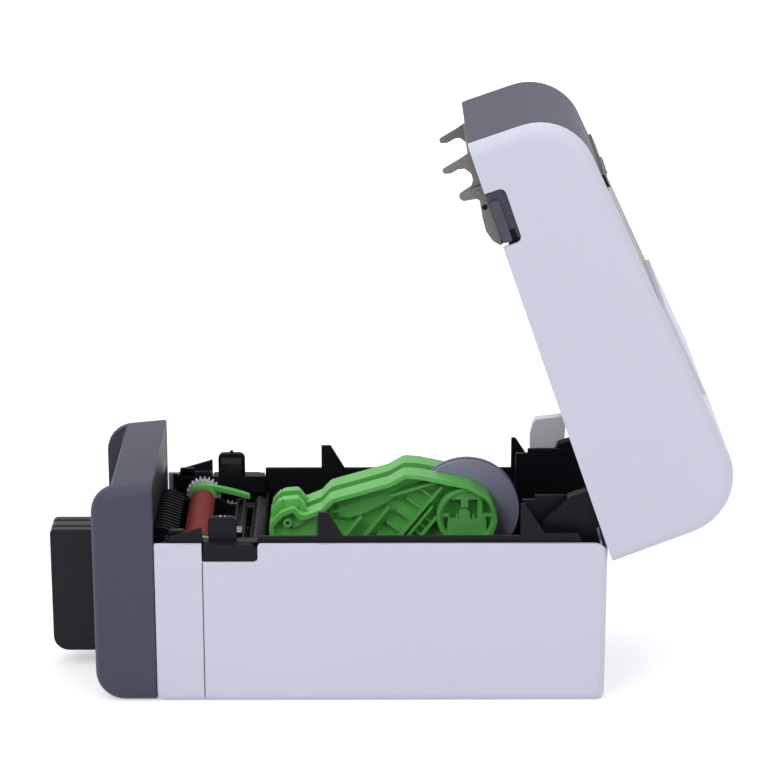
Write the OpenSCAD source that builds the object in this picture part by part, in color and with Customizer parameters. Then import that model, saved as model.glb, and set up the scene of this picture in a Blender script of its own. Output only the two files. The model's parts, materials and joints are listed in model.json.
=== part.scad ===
// Desktop label printer with its hinged cover held open.
// Frame: +Z up, the front faces -Y, origin at the middle of the footprint, millimetres.

/* [Casing] */
// Width over the side panels
body_w = 110; // [108:0.5:114]
// Length from the bezel's front to the rear face
body_len = 261; // [259:0.5:266]
// Height of the casing's rim
rim_z = 86.5; // [86:0.1:87]
// Thickness of the casing's walls
wall_t = 2.4; // [2:0.1:2.4]
// Gap at the seams between casing parts
seam = 0.4; // [0.3:0.1:0.6]
// Corner radius of the casing's lower edges
edge_r = 4; // [3:0.5:5]
// Height of the underside above the skirt
skirt_h = 1.5; // [1:0.1:2]
// Width of the skirt's standing face
skirt_w = 6; // [4:0.5:8]
// Length of the front casing piece
front_casing_d = 24.1; // [23:0.1:25]
// Length of the notch in the rim at the latches
notch_len = 27.7; // [26:0.5:28]
// Depth of that notch
notch_h = 9.5; // [9:0.1:9.5]

/* [Bezel] */
// Front-to-back depth of the bezel
bezel_d = 31.3; // [31:0.1:32]
// Height of the bezel's top at its rear edge
bezel_h = 117.6; // [116:0.2:119]
// Radius over the top front edge
bezel_top_r = 14; // [12:0.5:15]
// Radius under the chin
bezel_chin_r = 23; // [20:0.5:24]
// Roundness of the cheeks
cheek_r = 5.5; // [4:0.5:6]
// Width of a cheek beside the scoop
cheek_w = 9; // [8:0.5:11]
// Clearance at each end of the label exit slot
exit_gap = 0.5; // [0.3:0.1:1]
// Height of the label exit slot
exit_h = 7; // [6:0.5:8]

/* [Front module] */
// Width of the front module
module_w = 20; // [18:1:24]
// Depth that it stands forward
module_d = 26; // [22:1:28]
// Height of the front module
module_h = 68; // [64:1:68]

/* [Cover] */
// Height of the cover above the parting plane at its crown line
cover_h = 76.5; // [75:0.5:78]
// Fall of the cover's top, millimetres per millimetre
cover_fall = 0.1037; // [0.09:0.001:0.11]
// Radius over the cover's rear
cover_rear_r = 31; // [28:1:33]
// Radius over the cover's nose
cover_nose_r = 30; // [27:1:31]
// Softness of the cover's side edges
cover_edge_r = 7.5; // [6:0.5:8]
// Width of the white side beside the nose and the panels
nose_side = 7; // [7:0.5:9]
// Angle by which the cover stands open
open_angle = 70.7; // [66:0.1:71]

/* [Hinge] */
// Distance of the hinge axis from the rear face
hinge_in = 6.9; // [6.8:0.1:7.2]
// Distance of the hinge axis below the parting plane
hinge_down = 7.9; // [7.8:0.1:8.2]
// Radius of the hinge pins
hinge_pin_r = 1.6; // [1.4:0.1:1.8]
// Width of a hinge arm
arm_w = 6; // [5:0.5:6]
// Gap between a hinge arm and the frame's side wall
arm_gap = 6.4; // [6:0.1:6.4]

/* [Roll bay] */
// Largest roll radius that the bay takes
roll_r = 63.5; // [62:0.5:64]
// Distance of the roll's axis from the rear face
roll_in = 70; // [69.5:0.1:70.5]
// Height of the roll's axis
roll_z = 85.5; // [85.2:0.1:86]
// Radius of the flange discs
flange_r = 27.5; // [25:0.5:27.5]
// Thickness of a flange disc
flange_t = 2.8; // [2.4:0.1:2.8]
// Margin between the widest label and the platen's end
label_margin = 5; // [5:0.5:8]
// Thickness of a roll arm's web
web_t = 2; // [1.8:0.1:2.4]
// Width of the rim round a roll arm
rim_w = 11.9; // [9:0.1:12]

/* [Platen] */
// Radius of the rubber roller
platen_r = 6.8; // [6.4:0.1:6.8]
// Room for the gears and walls beside the roller
platen_side = 23.5; // [23.5:0.5:25]
// Radius of the platen's shaft
platen_shaft_r = 2.5; // [2.2:0.1:2.6]
// Tooth size of the drive gears
gear_m = 0.75; // [0.75]
// Teeth on the platen's gear
platen_teeth = 23; // [23]
// Teeth on the idler
idler_teeth = 32; // [32]
// Teeth on the motor's pinion
pinion_teeth = 12; // [12]

/* [Fits] */
// Running clearance of a pin in its bore, on the radius
run_fit = 0.05; // [0.03:0.01:0.08]
// Clearance between pieces that are fixed together
seat = 0.2; // [0.15:0.05:0.2]
// Clearance between pieces that pass each other
pass_gap = 0.4; // [0.3:0.05:0.4]

/* [Hidden] */
$fn = 48;
half_w = body_w / 2;
front_y = -body_len / 2;
rear_y = body_len / 2;
// Parting plane of the closed cover
part_z = rim_z + seam;
// Hinge axis of the cover
hinge_y = rear_y - hinge_in;
hinge_z = part_z - hinge_down;
hinge_guard_r = hinge_down - seam;
cover_rear = rear_y + 0.3;
bezel_rear = front_y + bezel_d;
front_casing_y0 = bezel_rear + seam;
front_casing_y1 = front_casing_y0 + front_casing_d;
casing_front = front_casing_y1 + seam;
notch_y = casing_front + notch_len;
notch_z = rim_z - notch_h;
// Inside of the casing's walls, and outside of the inner frame
in_w = half_w - wall_t;
frame_w = in_w - seat;
frame_t = 2;
frame_in = frame_w - frame_t;
arm_x = frame_in - arm_gap - arm_w;
roll_y = rear_y - roll_in;
frame_front = bezel_rear + 3.2;
frame_rear = rear_y - wall_t - seat;
floor_z = skirt_h + wall_t;
bay_floor = 20.5;
frame_foot = bay_floor - frame_t;
bulkhead_y = notch_y + 0.6;
lip_z = part_z + 2.9;
// Platen axis
platen_y = bezel_rear + 20;
platen_z = rim_z - 8.5;
platen_x = half_w - platen_side;
bush_r = 4.2;
bush_x0 = platen_x + 1.1;
bush_x1 = bush_x0 + 7.7;
cradle_x0 = bush_x0 + 2.2;
cradle_x1 = cradle_x0 + 2.2;
// Gear train on the far side
gear_x0 = bush_x1 + 0.7;
gear_x1 = gear_x0 + 4;
pitch_platen = gear_m * platen_teeth / 2;
pitch_idler = gear_m * idler_teeth / 2;
pitch_pinion = gear_m * pinion_teeth / 2;
backlash = 0.15;
idler_y = platen_y + 12;
idler_z = platen_z - sqrt(pow(pitch_platen + pitch_idler, 2) - pow(idler_y - platen_y, 2));
pinion_y = idler_y + 4;
pinion_z = idler_z - sqrt(pow(pitch_idler + pitch_pinion, 2) - pow(pinion_y - idler_y, 2));
idler_axle_r = 2;
motor_r = 16.4;
motor_shaft_r = 1.2;
// Release latch: its pivot lies behind the platen, on the cover
latch_y = platen_y + 8.6;
latch_z = platen_z + 5.2;
latch_pin_r = 1.6;
hook_x0 = bush_x0 + 0.4;
hook_x1 = hook_x0 + 1.2;
// Roll arms at rest, for the narrowest roll
disc_x0 = 0.4;
disc_x1 = disc_x0 + flange_t;
web_x0 = disc_x1 + pass_gap;
web_x1 = web_x0 + web_t;
disc_pin_r = 4;
rack_z = 12;
rack_h = 4;
rack_m = 1;
rack_teeth = 12;
rack_r = rack_m * rack_teeth / 2;
rack_y = 20;
arm_travel = platen_x - label_margin;
rack_x = arm_travel + 5.5;
guide_x = arm_travel + 15.5;
// Screws through the bay's floor, feet and casing screws under the floor
bolt_x = frame_in - 4.4;
foot_x = half_w - 17;
casing_bolt_x = half_w - 25;

function unit(v) = v / norm(v);
function turn_between(a, b) = let (d = b - a) d > 180 ? d - 360 : (d < -180 ? d + 360 : d);
function heading(v) = atan2(v[1], v[0]);
function about(c, r, a) = [c[0] + r * cos(a), c[1] + r * sin(a)];

// Points of an arc about a centre, from angle a to angle b
function arc(c, r, a, b, n) = [for (i = [0:n]) about(c, r, a + (b - a) * i / n)];

// Rounds one corner between its neighbours with n + 1 points, within its edges, or leaves it sharp
function corner(a, b, c, r, n) =
    r <= 0 ? [b] :
    let (u = unit(a - b), w = unit(c - b), half = acos(u * w) / 2,
         t = min(r / tan(half), 0.48 * norm(a - b), 0.48 * norm(c - b)), fit_r = t * tan(half),
         mid = b + unit(u + w) * (fit_r / sin(half)),
         from = heading(b + u * t - mid), to = heading(b + w * t - mid))
    arc(mid, fit_r, from, from + turn_between(from, to), n);

function xy(p) = [p[0], p[1]];
function flat(lists) = [for (l = lists) for (p = l) p];

// Rounds a closed outline whose corners are [across, up, radius]
function rounded(c, n = 8) = let (k = len(c))
    flat([for (i = [0:k - 1])
        corner(xy(c[(i + k - 1) % k]), xy(c[i]), xy(c[(i + 1) % k]), c[i][2], n)]);

// Moves an outline's edges inwards by d; an edge whose start corner has a fourth value 0 stays
function edge_in(c, i) = let (k = len(c), a = xy(c[i % k]), b = xy(c[(i + 1) % k]), u = unit(b - a))
    [a, u, [-u[1], u[0]], c[i % k][3] == 0 ? 0 : 1];
function inset(c, d) = let (k = len(c))
    [for (i = [0:k - 1])
        let (e = edge_in(c, i + k - 1), f = edge_in(c, i), p = e[0] + e[2] * e[3] * d,
             q = f[0] + f[2] * f[3] * d, den = e[1][0] * f[1][1] - e[1][1] * f[1][0],
             s = ((q[0] - p[0]) * f[1][1] - (q[1] - p[1]) * f[1][0]) / den,
             m = p + e[1] * s)
        [m[0], m[1], c[i][2] <= 0 ? 0 : max(c[i][2] - d, 0.3), c[i][3]]];

// Extrusions along one axis between two places; the drawing's axes keep their order
module slab_x(x0, x1) rotate([90, 0, 90]) translate([0, 0, x0]) linear_extrude(x1 - x0) children();
module slab_y(y0, y1) translate([0, y1, 0]) rotate([90, 0, 0]) linear_extrude(y1 - y0) children();
module slab_z(z0, z1) translate([0, 0, z0]) linear_extrude(z1 - z0) children();
module block(x, y, z) translate([x[0], y[0], z[0]]) cube([x[1] - x[0], y[1] - y[0], z[1] - z[0]]);
module rod_x(y, z, r, x0, x1) translate([x0, y, z]) rotate([0, 90, 0]) cylinder(r = r, h = x1 - x0);
module rod_y(x, z, r, y0, y1) translate([x, y1, z]) rotate([90, 0, 0]) cylinder(r = r, h = y1 - y0);
module rod_z(x, y, r, z0, z1) translate([x, y, z0]) cylinder(r = r, h = z1 - z0);
module both_sides() {
    children();
    mirror([1, 0, 0]) children();
}

// Closed body across the width whose side edges are rounded by r, as rings of one outline
module soft_body(c, w, r, n = 10, m = 5) {
    angles = concat([for (i = [0:m]) -90 + 90 * i / m], [for (i = [0:m]) 90 * i / m]);
    rings = [for (i = [0:len(angles) - 1])
        let (a = angles[i], x = (i <= m ? -1 : 1) * (w - r) + r * sin(a),
             ring = rounded(inset(c, r * (1 - cos(a))), n))
        [for (p = ring) [x, p[0], p[1]]]];
    k = len(rings[0]);
    last = len(rings) - 1;
    sides = flat([for (i = [0:last - 1]) flat([for (j = [0:k - 1])
        let (a = i * k + j, b = i * k + (j + 1) % k)
        [[a, a + k, b + k], [a, b + k, b]]])]);
    polyhedron(flat(rings), concat([[for (j = [0:k - 1]) j], [for (j = [0:k - 1]) last * k + k - 1 - j]], sides));
}

// Side outline of the casing: notch at the front, an arc about the hinge at the top rear
function casing_side() = concat(
    [[casing_front, 0, 0], [rear_y, 0, edge_r + 1]],
    [for (p = arc([hinge_y, hinge_z], hinge_guard_r, acos(hinge_in / hinge_guard_r), 90, 6)) [p[0], p[1], 0]],
    [[notch_y, rim_z, 2], [notch_y, notch_z, 2], [casing_front, notch_z, 0]]);

// Section across the width with rounded lower edges
function tub_section(w, z0, z1, r) = [[-w, z0, r], [w, z0, r], [w, z1, 0], [-w, z1, 0]];

module lower_casing() color([0.85, 0.86, 0.87]) difference() {
    intersection() {
        slab_x(-half_w, half_w) polygon(rounded(casing_side()));
        slab_y(casing_front - 1, rear_y + 1) polygon(rounded(tub_section(half_w, 0, rim_z + 1, edge_r)));
        slab_z(-1, rim_z + 1) polygon(rounded([
            [-half_w, casing_front, 0], [half_w, casing_front, 0], [half_w, rear_y, edge_r], [-half_w, rear_y, edge_r]]));
    }
    // hollow under the floor, inside the skirt
    block([skirt_w + edge_r - half_w, half_w - edge_r - skirt_w],
          [casing_front + skirt_w, rear_y - edge_r - skirt_w], [-1, skirt_h]);
    // hollow above the floor
    slab_x(-in_w, in_w) polygon(concat(
        [[casing_front - 1, floor_z], [rear_y - wall_t, floor_z]],
        arc([hinge_y, hinge_z], hinge_guard_r - wall_t, acos((hinge_in - wall_t) / (hinge_guard_r - wall_t)), 48, 3),
        arc([hinge_y, hinge_z], hinge_guard_r + 1, 48, 60, 1),
        [[hinge_y - 2, rim_z + 4], [casing_front - 1, rim_z + 4]]));
    rear_openings(rear_y - wall_t - 1, rear_y + 1);
    for (x = [-1, 1], y = [casing_front + 30, rear_y - 34])
        rod_z(x * casing_bolt_x, y, 1.6, -1, floor_z + 1);
}

// Front casing: a U that carries the side panels ahead of the seam
module front_casing() color([0.85, 0.86, 0.87]) difference() {
    intersection() {
        slab_x(-half_w, half_w) polygon(rounded([
            [front_casing_y0, 0, edge_r + 2], [front_casing_y1, 0, 0], [front_casing_y1, rim_z, 0], [front_casing_y0, rim_z, 0]]));
        slab_y(front_casing_y0 - 1, front_casing_y1 + 1) polygon(rounded(tub_section(half_w, 0, rim_z + 1, edge_r)));
    }
    block([-in_w, in_w], [front_casing_y0 - 1, front_casing_y1 + 1], [wall_t, rim_z + 1]);
    // notch over the latch, shared with the casing behind the seam
    block([-half_w - 1, half_w + 1], [front_casing_y1 - 0.01, front_casing_y1 + 1], [notch_z, rim_z + 1]);
}

// Openings in the rear wall for the inlet, the sockets and the switch, [x, z, width, height]
panel_step = body_w / 55;
INLET = [-17 * panel_step, 16, 12, 10];
USB = [-6 * panel_step, 14, 12.6, 11.4];
NETWORK = [4 * panel_step, 15, 16.4, 13.6];
SWITCH = [17 * panel_step, 16, 20, 12.6];
PANELS = [INLET, USB, NETWORK, SWITCH];
module rear_openings(y0, y1) for (p = PANELS)
    block([p[0] - p[2] / 2, p[0] + p[2] / 2], [y0, y1], [p[1] - p[3] / 2 + floor_z, p[1] + p[3] / 2 + floor_z]);

// Front bezel: rounded top and chin, soft cheeks, a hollow back
BEZEL = [[front_y, 0, bezel_chin_r, 1], [bezel_rear, 0, 0, 0],
         [bezel_rear, bezel_h, 0, 1], [front_y, bezel_h - 3, bezel_top_r, 1]];
scoop_x = half_w - cheek_w;
exit_x = platen_x + exit_gap;
bezel_in = half_w - 4.8;
liner_w = bezel_in - seat;
// Face of the scoop, from the top of the bezel down to its front plane
function scoop_face(d) = [[front_y + 11 + d, bezel_h - 1.6], [front_y + 8.7 + d, 109], [front_y + 5.4 + d, 95.9],
                         [front_y + 1.8 + d, 85.2], [front_y + d * 0.4, 78.5 - d]];
exit_z = rim_z - 2;
module bezel() color([0.36, 0.37, 0.42]) difference() {
    soft_body(BEZEL, half_w, cheek_r);
    // scoop between the cheeks
    slab_x(-scoop_x, scoop_x) polygon(concat(scoop_face(0), [[front_y - 9, 78.5], [front_y - 9, 130], [front_y + 11, 130]]));
    // hollow back, a wall behind the scoop and the chin
    difference() {
        slab_x(-bezel_in, bezel_in) polygon(rounded([
            [front_y + wall_t, wall_t, bezel_chin_r - wall_t], [bezel_rear + 1, wall_t, 0],
            [bezel_rear + 1, bezel_h - 3, 0], [front_y + wall_t, bezel_h - 5, bezel_top_r - wall_t]]));
        slab_x(-scoop_x - wall_t, scoop_x + wall_t) polygon(concat(
            [[front_y + 11 + wall_t + 2, bezel_h + 4]], scoop_face(wall_t), [[front_y - 9, 76], [front_y - 9, 130]]));
    }
    block([-exit_x, exit_x], [front_y - 1, front_y + 16], [exit_z, exit_z + exit_h]);
}

// Black plate that closes the bezel's back above the label's way
module bezel_liner() color([0.12, 0.11, 0.13])
    block([-liner_w, liner_w], [bezel_rear - 2, bezel_rear - seam / 2], [exit_z + exit_h + 0.5, bezel_h - 3 - seat]);

// Accessory that stands forward under the scoop
MODULE_Z = 9.5;
module front_module() color([0.1, 0.1, 0.11]) difference() {
    slab_x(-module_w / 2, module_w / 2) polygon(rounded([
        [front_y - module_d, MODULE_Z, 8], [front_y, MODULE_Z, 0], [front_y, MODULE_Z + module_h, 0],
        [front_y - module_d, MODULE_Z + module_h, 2.5]]));
    for (x = [-1, 1])
        block([x * module_w * 0.22 - 0.7, x * module_w * 0.22 + 0.7], [front_y - module_d - 1, front_y - 2],
              [MODULE_Z + module_h - 1.2, MODULE_Z + module_h + 1]);
}

// Frame that holds the roll and the printing parts, with the lip that stands above the rim
bay_r = roll_r + 1.5;
floor_y1 = roll_y;
pocket_x0 = arm_x - 1;
pocket_x1 = arm_x + arm_w + 1;
pocket_y0 = rear_y - 42.5;
pocket_z = 57;
pocket_top = part_z + 19;
neck_w = 4;
neck_y = 30;
pocket_t = 2.2;
sensor_x1 = platen_x - 5.5;
slot_x1 = web_x0 + neck_w + arm_travel + pass_gap;
deck_z = notch_z - 0.5;

// Side wall: high at the front, cut for the latch block, fins before the hinge
module frame_side() slab_x(frame_in, frame_w) polygon([
    [frame_front, frame_foot], [floor_y1, frame_foot], [frame_rear, 40], [frame_rear, hinge_z + 1],
    [hinge_y + 2.4, hinge_z + 4], [hinge_y + 2.4, part_z - 1.5], [pocket_y0 + 30, part_z - 1.5],
    [pocket_y0 + 27.5, lip_z + 1.4], [pocket_y0 + 10.6, lip_z + 1.4], [pocket_y0 + 0.5, lip_z + 17],
    [pocket_y0 - 1.8, lip_z + 17], [pocket_y0 - 1.8, lip_z], [-3.5, lip_z], [-11, lip_z + 12.7], [-16, lip_z + 12.7],
    [-16, lip_z], [notch_y + 0.4, lip_z], [notch_y + 0.4, notch_z - seat], [casing_front - 0.4, notch_z - seat],
    [casing_front - 0.4, lip_z + 4.7], [frame_front + 4.8, lip_z + 4.7], [frame_front + 4.8, part_z - 0.4],
    [frame_front, part_z - 0.4]]);

module frame_cross_walls() {
    // front wall, the bulkhead between the roll and the gears, and the floor between them
    block([-frame_w, frame_w], [frame_front, frame_front + frame_t], [frame_foot, notch_z + 2.8]);
    block([-frame_w, frame_w], [bulkhead_y, bulkhead_y + frame_t], [frame_foot, deck_z]);
    block([-frame_w, frame_w], [frame_front, bulkhead_y + frame_t], [frame_foot, bay_floor]);
    // deck that the labels slide over
    block([0.8 - cradle_x0, cradle_x0 - 0.8], [bulkhead_y - 15, bulkhead_y + frame_t], [deck_z - frame_t, deck_z]);
}

module inner_frame() color([0.16, 0.15, 0.18]) difference() {
    union() {
        both_sides() frame_side();
        frame_cross_walls();
    }
    // slots in the deck for the media sensor
    block([-sensor_x1, sensor_x1], [bulkhead_y - 9, bulkhead_y - 6], [deck_z - 3, deck_z + 1]);
}

// Bay for the roll: flat floor, then an arc about the roll's axis up to the rear
module roll_bay() color([0.15, 0.14, 0.17]) difference() {
    slab_x(-frame_in, frame_in) polygon(concat([[bulkhead_y + frame_t, bay_floor], [bulkhead_y + frame_t, frame_foot]],
        arc([roll_y, roll_z], bay_r + frame_t, -90, -6, 16), arc([roll_y, roll_z], bay_r, -6, -90, 16)));
    // the arc opens where the hinge arms swing
    both_sides() block([pocket_x0 - pocket_t, frame_in + 1], [pocket_y0 + 2, rear_y], [pocket_z - frame_t, part_z + 20]);
    // slots in the floor for the necks of the roll arms
    block([web_x0 - pass_gap, slot_x1], [neck_y - 4 - pass_gap, neck_y + 4 + pass_gap], [17, 30]);
    block([-slot_x1, pass_gap - web_x0], [2 * rack_y - neck_y - 4 - pass_gap, 2 * rack_y - neck_y + 4 + pass_gap], [17, 30]);
    // screw holes in the floor
    for (x = [-1, 1], y = [bulkhead_y + 12, roll_y - 8])
        rod_z(x * bolt_x, y, 1.6, 17, 30);
}

// Pockets that the hinge arms swing in, with the ears that hold the pins
module hinge_pockets() color([0.16, 0.15, 0.18]) both_sides() difference() {
    union() {
        slab_x(pocket_x0 - pocket_t, pocket_x0) polygon([
            [pocket_y0, pocket_z - frame_t], [frame_rear, pocket_z - frame_t], [frame_rear, hinge_z + 1],
            [hinge_y + 2.4, hinge_z + 4], [hinge_y + 1, part_z + 6], [frame_rear - 8, pocket_top],
            [pocket_y0 + 6.2, pocket_top], [pocket_y0 + 6.2, pocket_top - 2.4], [pocket_y0, pocket_top - 2.4]]);
        // front and floor of the pocket
        block([pocket_x0 - 1, frame_in], [pocket_y0, pocket_y0 + frame_t], [pocket_z - frame_t, part_z - 0.4]);
        block([pocket_x0 - 1, frame_in], [pocket_y0 + 1, frame_rear], [pocket_z - frame_t, pocket_z]);
        // ear outside the arm
        slab_x(pocket_x1, pocket_x1 + 2) polygon(rounded([
            [frame_rear - 13, pocket_z - 1, 0], [frame_rear, pocket_z - 1, 0], [frame_rear, hinge_z + 1, 0],
            [hinge_y + 2.4, hinge_z + 4, 1], [frame_rear - 13, hinge_z + 6.5, 4]]));
    }
    rod_x(hinge_y, hinge_z, hinge_pin_r + run_fit, pocket_x0 - 4, pocket_x1 + 4);
}

// Block on each side that fills the notch in the casing
post_x0 = gear_x1 + 0.8;
post_x1 = frame_in - seat;
post_y0 = casing_front + 3.8;
post_y1 = casing_front + 16.8;
post_z = rim_z + 0.3;
post_h = 14.7;
module latch_blocks() color([0.2, 0.2, 0.22]) both_sides() difference() {
    union() {
        block([post_x0, frame_w], [casing_front, notch_y], [notch_z, post_z]);
        slab_x(frame_w - 0.1, half_w - seat) polygon(rounded([
            [casing_front + 0.3, notch_z + seat, 0], [notch_y - 0.3, notch_z + seat, 2.4],
            [notch_y - 0.3, rim_z - 2.4, 0], [notch_y - 2.6, rim_z - seat, 2], [casing_front + 0.3, rim_z - seat, 0]]));
    }
    // hollow that lightens the block
    block([frame_in - 1.6, frame_in + 3], [casing_front + 8, notch_y - 8], [notch_z - 1, rim_z - 2]);
}

// Post on each block, which guides the cover's side as it closes
module latch_post() {
    slab_x(post_x0 + 1.2, post_x1) polygon(rounded([
        [post_y0, post_z, 0], [post_y1, post_z, 0], [post_y1, post_z + post_h, 3], [post_y0, post_z + post_h, 3]]));
    // lower step behind the plate, sloped over its top
    slab_y(post_y0 + 1.4, post_y1 - 1.4) polygon([
        [post_x0 - 1, post_z], [post_x0 + 1.3, post_z], [post_x0 + 1.3, post_z + post_h - 1.4],
        [post_x0 + 0.3, post_z + post_h - 1.4], [post_x0 - 1, post_z + post_h - 3.4]]);
}

module latch_posts() color([0.2, 0.2, 0.22]) {
    both_sides() latch_post();
    // guide stud on the far post
    rod_z(1.2 - post_x1, (post_y0 + post_y1) / 2, 0.9, post_z + post_h - 0.2, post_z + post_h + 1.2);
}

// Ribs that lead the labels from the platen to the slot
rib_pitch = 4;
comb_n = floor((platen_x - 1) / rib_pitch);
module guide_comb() color([0.14, 0.13, 0.16]) {
    block([0.5 - platen_x, platen_x - 0.5], [bezel_rear - 0.8, platen_y - 9.4], [notch_z + 2.8 + seat, notch_z + 4.6]);
    for (i = [-comb_n:comb_n])
        slab_x(i * rib_pitch - 0.6, i * rib_pitch + 0.6) polygon([
            [bezel_rear - 0.8, notch_z + 4.5], [platen_y - 9.4, notch_z + 4.5], [platen_y - 9.4, rim_z - 3.5],
            [bezel_rear + 3, rim_z - 0.6], [bezel_rear - 0.8, rim_z - 0.6]]);
}

// Cradle with the U-shaped seats for the platen's bushes
cradle_y0 = frame_front + 2 + seat;
cradle_y1 = bulkhead_y - seat;
cradle_z = platen_z - 16;
module platen_cradle() color([0.2, 0.19, 0.22]) {
    both_sides() slab_x(cradle_x0, cradle_x1) difference() {
        polygon(rounded([
            [cradle_y0, cradle_z, 0], [cradle_y1, cradle_z, 0], [cradle_y1, deck_z - 2 - seat, 0], [platen_y + 14, deck_z - 2 - seat, 2],
            [platen_y + 10, platen_z - 0.2, 2], [platen_y - 10, platen_z - 0.2, 2], [cradle_y0, platen_z - 4, 0]]));
        translate([platen_y, platen_z]) circle(r = bush_r + run_fit);
        translate([platen_y - bush_r - run_fit, platen_z]) square([2 * (bush_r + run_fit), 10]);
    }
    // cross bars under the roller
    block([-cradle_x0 - 0.1, cradle_x0 + 0.1], [cradle_y0, cradle_y0 + 3], [cradle_z, cradle_z + 8]);
    block([-cradle_x0 - 0.1, cradle_x0 + 0.1], [cradle_y1 - 3, cradle_y1], [cradle_z, cradle_z + 8]);
}

module platen_bushes() color([0.62, 0.6, 0.55]) both_sides() difference() {
    rod_x(platen_y, platen_z, bush_r, bush_x0, bush_x1);
    rod_x(platen_y, platen_z, platen_shaft_r + run_fit, bush_x0 - 1, bush_x1 + 1);
}

// Bar behind the platen that carries the sensor, on the deck
sensor_y = bulkhead_y - 12.4;
module sensor_bar() color([0.3, 0.3, 0.33]) difference() {
    block([-platen_x - 0.5, platen_x + 0.5], [sensor_y - 2.4, sensor_y + 2.4], [deck_z + seat, deck_z + 3]);
    block([1.5 - platen_x, platen_x - 1.5], [sensor_y - 1.1, sensor_y + 1.1], [deck_z - 1, deck_z + 4]);
}

module media_sensor() color([0.45, 0.45, 0.48]) {
    block([sensor_x1 - 8, sensor_x1 - 1], [sensor_y - 0.7, sensor_y + 0.7], [deck_z + 0.6, deck_z + 3.4]);
    slab_x(sensor_x1 - 9, sensor_x1) polygon(rounded([
        [sensor_y - 3, deck_z + 3.4, 0], [sensor_y + 3, deck_z + 3.4, 0], [sensor_y + 3, deck_z + 5.4, 1],
        [sensor_y - 3, deck_z + 5.4, 1]]));
}

// Sloped lip that lifts the labels out of the bay
module media_ramp() color([0.13, 0.12, 0.14]) slab_x(-platen_x - 0.5, platen_x + 0.5) polygon(rounded([
    [bulkhead_y - 5, deck_z + seat, 0], [bulkhead_y + 1.6, deck_z + seat, 0], [bulkhead_y + 1.6, deck_z + 2, 1],
    [bulkhead_y - 3.4, deck_z + 4.6, 1.2], [bulkhead_y - 5, deck_z + 2, 0]]));

// Half angle of an involute tooth at a radius, 25 degree pressure angle
press = 25;
function inv(a) = tan(a) * 180 / PI - a;
function half_tooth(m, z, r) = let (rp = m * z / 2, rb = rp * cos(press))
    90 / z - backlash / 2 / rp * 180 / PI + inv(press) - (r <= rb ? 0 : inv(acos(rb / r)));

// Outline of a gear with one tooth centred at the angle phase
module gear_outline(m, z, phase) {
    rp = m * z / 2;
    root = rp - 1.2 * m;
    tip = rp + 0.9 * m;
    base = max(root + 0.05, rp * cos(press));
    radii = concat([root], [for (i = [0:3]) base + (tip - base) * i / 3]);
    polygon(flat([for (t = [0:z - 1])
        let (mid = phase + 360 * t / z)
        concat([for (i = [0:4]) about([0, 0], radii[i], mid - half_tooth(m, z, max(radii[i], base)))],
               [for (i = [4:-1:0]) about([0, 0], radii[i], mid + half_tooth(m, z, max(radii[i], base)))])]));
}

// Phases that put the teeth of the train in mesh
to_idler = heading([idler_y - platen_y, idler_z - platen_z]);
to_pinion = heading([pinion_y - idler_y, pinion_z - idler_z]);
platen_phase = to_idler;
idler_phase = to_idler + 180 + 180 / idler_teeth;
pinion_phase = to_pinion + 180 - (idler_phase - to_pinion) * idler_teeth / pinion_teeth + 180 / pinion_teeth;

module gear_x(y, z, teeth, phase, x0, x1, bore) difference() {
    slab_x(x0, x1) translate([y, z]) gear_outline(gear_m, teeth, phase);
    rod_x(y, z, bore, x0 - 1, x1 + 1);
}

// Rubber sleeve on the platen's shaft
module platen_roller() color([0.45, 0.2, 0.17]) difference() {
    rod_x(platen_y, platen_z, platen_r, -platen_x, platen_x);
    rod_x(platen_y, platen_z, platen_shaft_r, -platen_x - 1, platen_x + 1);
}

// Shaft, with a collar inside each bush and the step that carries the gear
module platen_shaft() color([0.7, 0.7, 0.72]) {
    rod_x(platen_y, platen_z, platen_shaft_r, -gear_x1 - 0.8, bush_x1 + 0.8);
    both_sides() rod_x(platen_y, platen_z, 3.4, platen_x, bush_x0 - 0.15);
}

module platen_gear() color([0.72, 0.73, 0.74]) mirror([1, 0, 0])
    gear_x(platen_y, platen_z, platen_teeth, platen_phase, gear_x0, gear_x1, platen_shaft_r);

module idler_gear() color([0.8, 0.8, 0.8]) mirror([1, 0, 0])
    gear_x(idler_y, idler_z, idler_teeth, idler_phase, gear_x0, gear_x1, idler_axle_r + run_fit);

module motor_pinion() color([0.78, 0.68, 0.4]) mirror([1, 0, 0])
    gear_x(pinion_y, pinion_z, pinion_teeth, pinion_phase, gear_x0, gear_x1, motor_shaft_r + run_fit);

// Plate that carries the motor and the idler, between the cradle and the gears
plate_x0 = cradle_x1 + 1.2;
plate_x1 = plate_x0 + 1;
module drive_plate() color([0.62, 0.62, 0.62]) mirror([1, 0, 0]) difference() {
    slab_x(plate_x0, plate_x1) polygon(rounded([
        [cradle_y0, bay_floor, 0], [cradle_y1, bay_floor, 0], [cradle_y1, idler_z + 4.6, 3],
        [cradle_y0, idler_z + 4.6, 3]]));
    rod_x(idler_y, idler_z, idler_axle_r + 0.02, plate_x0 - 1, plate_x1 + 1);
    rod_x(pinion_y, pinion_z, 4.6, plate_x0 - 1, plate_x1 + 1);
}

module idler_axle() color([0.75, 0.75, 0.77]) mirror([1, 0, 0]) {
    rod_x(idler_y, idler_z, idler_axle_r, plate_x0, gear_x1 + 1);
    rod_x(idler_y, idler_z, 3.2, plate_x1, gear_x0 - 0.3);
    rod_x(idler_y, idler_z, 3.2, gear_x1 + 0.2, gear_x1 + 1);
}

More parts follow.
